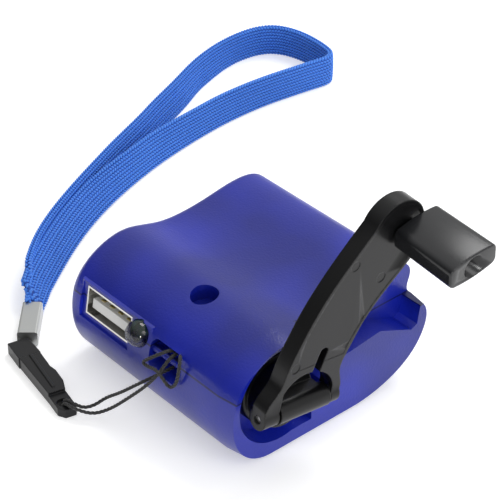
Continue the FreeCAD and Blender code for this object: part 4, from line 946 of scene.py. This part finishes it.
@dataclass
class Studio:
    """The pale floor, the soft lights and the camera.

    Attributes:
        azimuth: The camera's angle round the object, in degrees.
        elevation: The camera's angle above the floor, in degrees.
        distance: The camera's distance from its target, in metres.
        target: The point that the camera and the lamps face, in metres.
        focal_pixels: The focal length in the picture's pixels.
        frame_pixels: The picture's width in pixels.
        sensor: The sensor's width in millimetres.
        clip: The nearest and farthest distance that the camera sees, in metres.
        bright_side: The direction that the world is brightest from.
        bright: The world's strength there.
        dim: The world's strength on the far side.
        glow_cosines: The cosines between which the world goes from dim to bright.
        floor_half: Half the floor's side, in metres.
        floor_low: The floor's height, just under the object, in metres.
        floor_white: The floor's share of light that it throws back.
        floor_roughness: The floor's gloss, from 0, polished, to 1, dull.
        floor_glow: The glow that lifts the floor to white where it is seen.
        lamps: The lamps.
    """

    azimuth: float = 49.1
    elevation: float = 34.5
    distance: float = 0.34703
    target: tuple[float, float, float] = (-0.007866, 0.00712, 0.017699)
    focal_pixels: float = 1856.6
    frame_pixels: float = 500.0
    sensor: float = 36.0
    clip: tuple[float, float] = (0.01, 20.0)
    bright_side: tuple[float, float, float] = (0.25, 0.5, 0.83)
    bright: float = 0.95
    dim: float = 0.12
    glow_cosines: tuple[float, float] = (-0.5, 0.9)
    floor_half: float = 3.0
    floor_low: float = -0.00002
    floor_white: float = 0.8
    floor_roughness: float = 0.9
    floor_glow: float = 0.42
    lamps: tuple[Lamp, ...] = (
        Lamp("key", (-0.1, 0.45, 0.7), 0.35, 2.2),
        Lamp("side", (0.65, 0.1, 0.4), 0.35, 1.0),
        Lamp("edge", (0.75, -0.4, 0.14), 0.12, 1.3),
    )

    def build(self) -> None:
        """Make the floor, the world, the lights and the camera."""
        self._floor()
        self._world()
        for lamp in self.lamps:
            self._hang(lamp)
        self._camera()
        bpy.context.scene.view_settings.view_transform = "Standard"

    def _floor(self) -> None:
        """A pale floor that keeps the shadow and looks white to the camera."""
        mesh = bpy.data.meshes.new("floor")
        half = self.floor_half
        low = self.floor_low
        mesh.from_pydata(
            [(-half, -half, low), (half, -half, low), (half, half, low), (-half, half, low)],
            [],
            [(0, 1, 2, 3)],
        )
        floor = link(mesh, "floor")
        made = bpy.data.materials.new("pale_floor")
        made.use_nodes = True
        nodes = made.node_tree.nodes
        shader = nodes["Principled BSDF"]
        shader.inputs["Base Color"].default_value = (*[self.floor_white] * 3, 1.0)
        shader.inputs["Roughness"].default_value = self.floor_roughness
        shader.inputs["Specular IOR Level"].default_value = 0.0
        shader.inputs["Emission Color"].default_value = (1.0, 1.0, 1.0, 1.0)
        links = made.node_tree.links
        path = nodes.new("ShaderNodeLightPath")
        glow = nodes.new("ShaderNodeMapRange")
        glow.inputs["To Min"].default_value = 0.0
        glow.inputs["To Max"].default_value = self.floor_glow
        seen = path.outputs["Is Camera Ray"]
        for kind in ("Is Glossy Ray", "Is Transmission Ray"):
            either = nodes.new("ShaderNodeMath")
            either.operation = "MAXIMUM"
            links.new(seen, either.inputs[0])
            links.new(path.outputs[kind], either.inputs[1])
            seen = either.outputs["Value"]
        links.new(seen, glow.inputs["Value"])
        links.new(glow.outputs["Result"], shader.inputs["Emission Strength"])
        floor.data.materials.append(made)

    def _world(self) -> None:
        """A pale world like the inside of a light tent, brighter above and behind."""
        world = bpy.data.worlds.new("studio")
        bpy.context.scene.world = world
        world.use_nodes = True
        nodes = world.node_tree.nodes
        links = world.node_tree.links
        background = nodes["Background"]
        background.inputs["Color"].default_value = (1.0, 1.0, 1.0, 1.0)
        place = nodes.new("ShaderNodeTexCoord")
        facing = nodes.new("ShaderNodeVectorMath")
        facing.operation = "DOT_PRODUCT"
        facing.inputs[1].default_value = Vector(self.bright_side).normalized()
        spread = nodes.new("ShaderNodeMapRange")
        spread.interpolation_type = "SMOOTHSTEP"
        spread.inputs["From Min"].default_value = self.glow_cosines[0]
        spread.inputs["From Max"].default_value = self.glow_cosines[1]
        spread.inputs["To Min"].default_value = self.dim
        spread.inputs["To Max"].default_value = self.bright
        links.new(place.outputs["Generated"], facing.inputs[0])
        links.new(facing.outputs["Value"], spread.inputs["Value"])
        links.new(spread.outputs["Result"], background.inputs["Strength"])

    def _hang(self, lamp: Lamp) -> None:
        """Hang a lamp at its place.

        Args:
            lamp: The lamp.
        """
        data = bpy.data.lights.new(lamp.name, "AREA")
        data.size = lamp.size
        data.energy = lamp.power
        hung = bpy.data.objects.new(lamp.name, data)
        bpy.context.scene.collection.objects.link(hung)
        hung.location = lamp.place
        aim = Vector(self.target) - Vector(lamp.place)
        hung.rotation_mode = "QUATERNION"
        hung.rotation_quaternion = aim.to_track_quat("-Z", "Y")

    def _camera(self) -> None:
        """The camera at its place and angle."""
        turn = math.radians(self.azimuth)
        rise = math.radians(self.elevation)
        back = Vector((math.sin(turn) * math.cos(rise), -math.cos(turn) * math.cos(rise), math.sin(rise)))
        data = bpy.data.cameras.new("camera")
        data.sensor_width = self.sensor
        data.lens = self.focal_pixels * self.sensor / self.frame_pixels
        data.clip_start = self.clip[0]
        data.clip_end = self.clip[1]
        camera = bpy.data.objects.new("camera", data)
        bpy.context.scene.collection.objects.link(camera)
        camera.rotation_mode = "QUATERNION"
        camera.location = Vector(self.target) + back * self.distance
        camera.rotation_quaternion = (-back).to_track_quat("-Z", "Y")
        bpy.context.scene.camera = camera


def main() -> None:
    """Build the whole scene in order."""
    logging.basicConfig(level=logging.INFO, format="%(message)s")
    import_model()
    SolidFinishes().build()
    Case().build()
    Crank().build()
    Cord().build()
    Ribbon().build()
    Studio().build()
    bpy.context.view_layer.update()


if __name__ == "__main__":
    main()
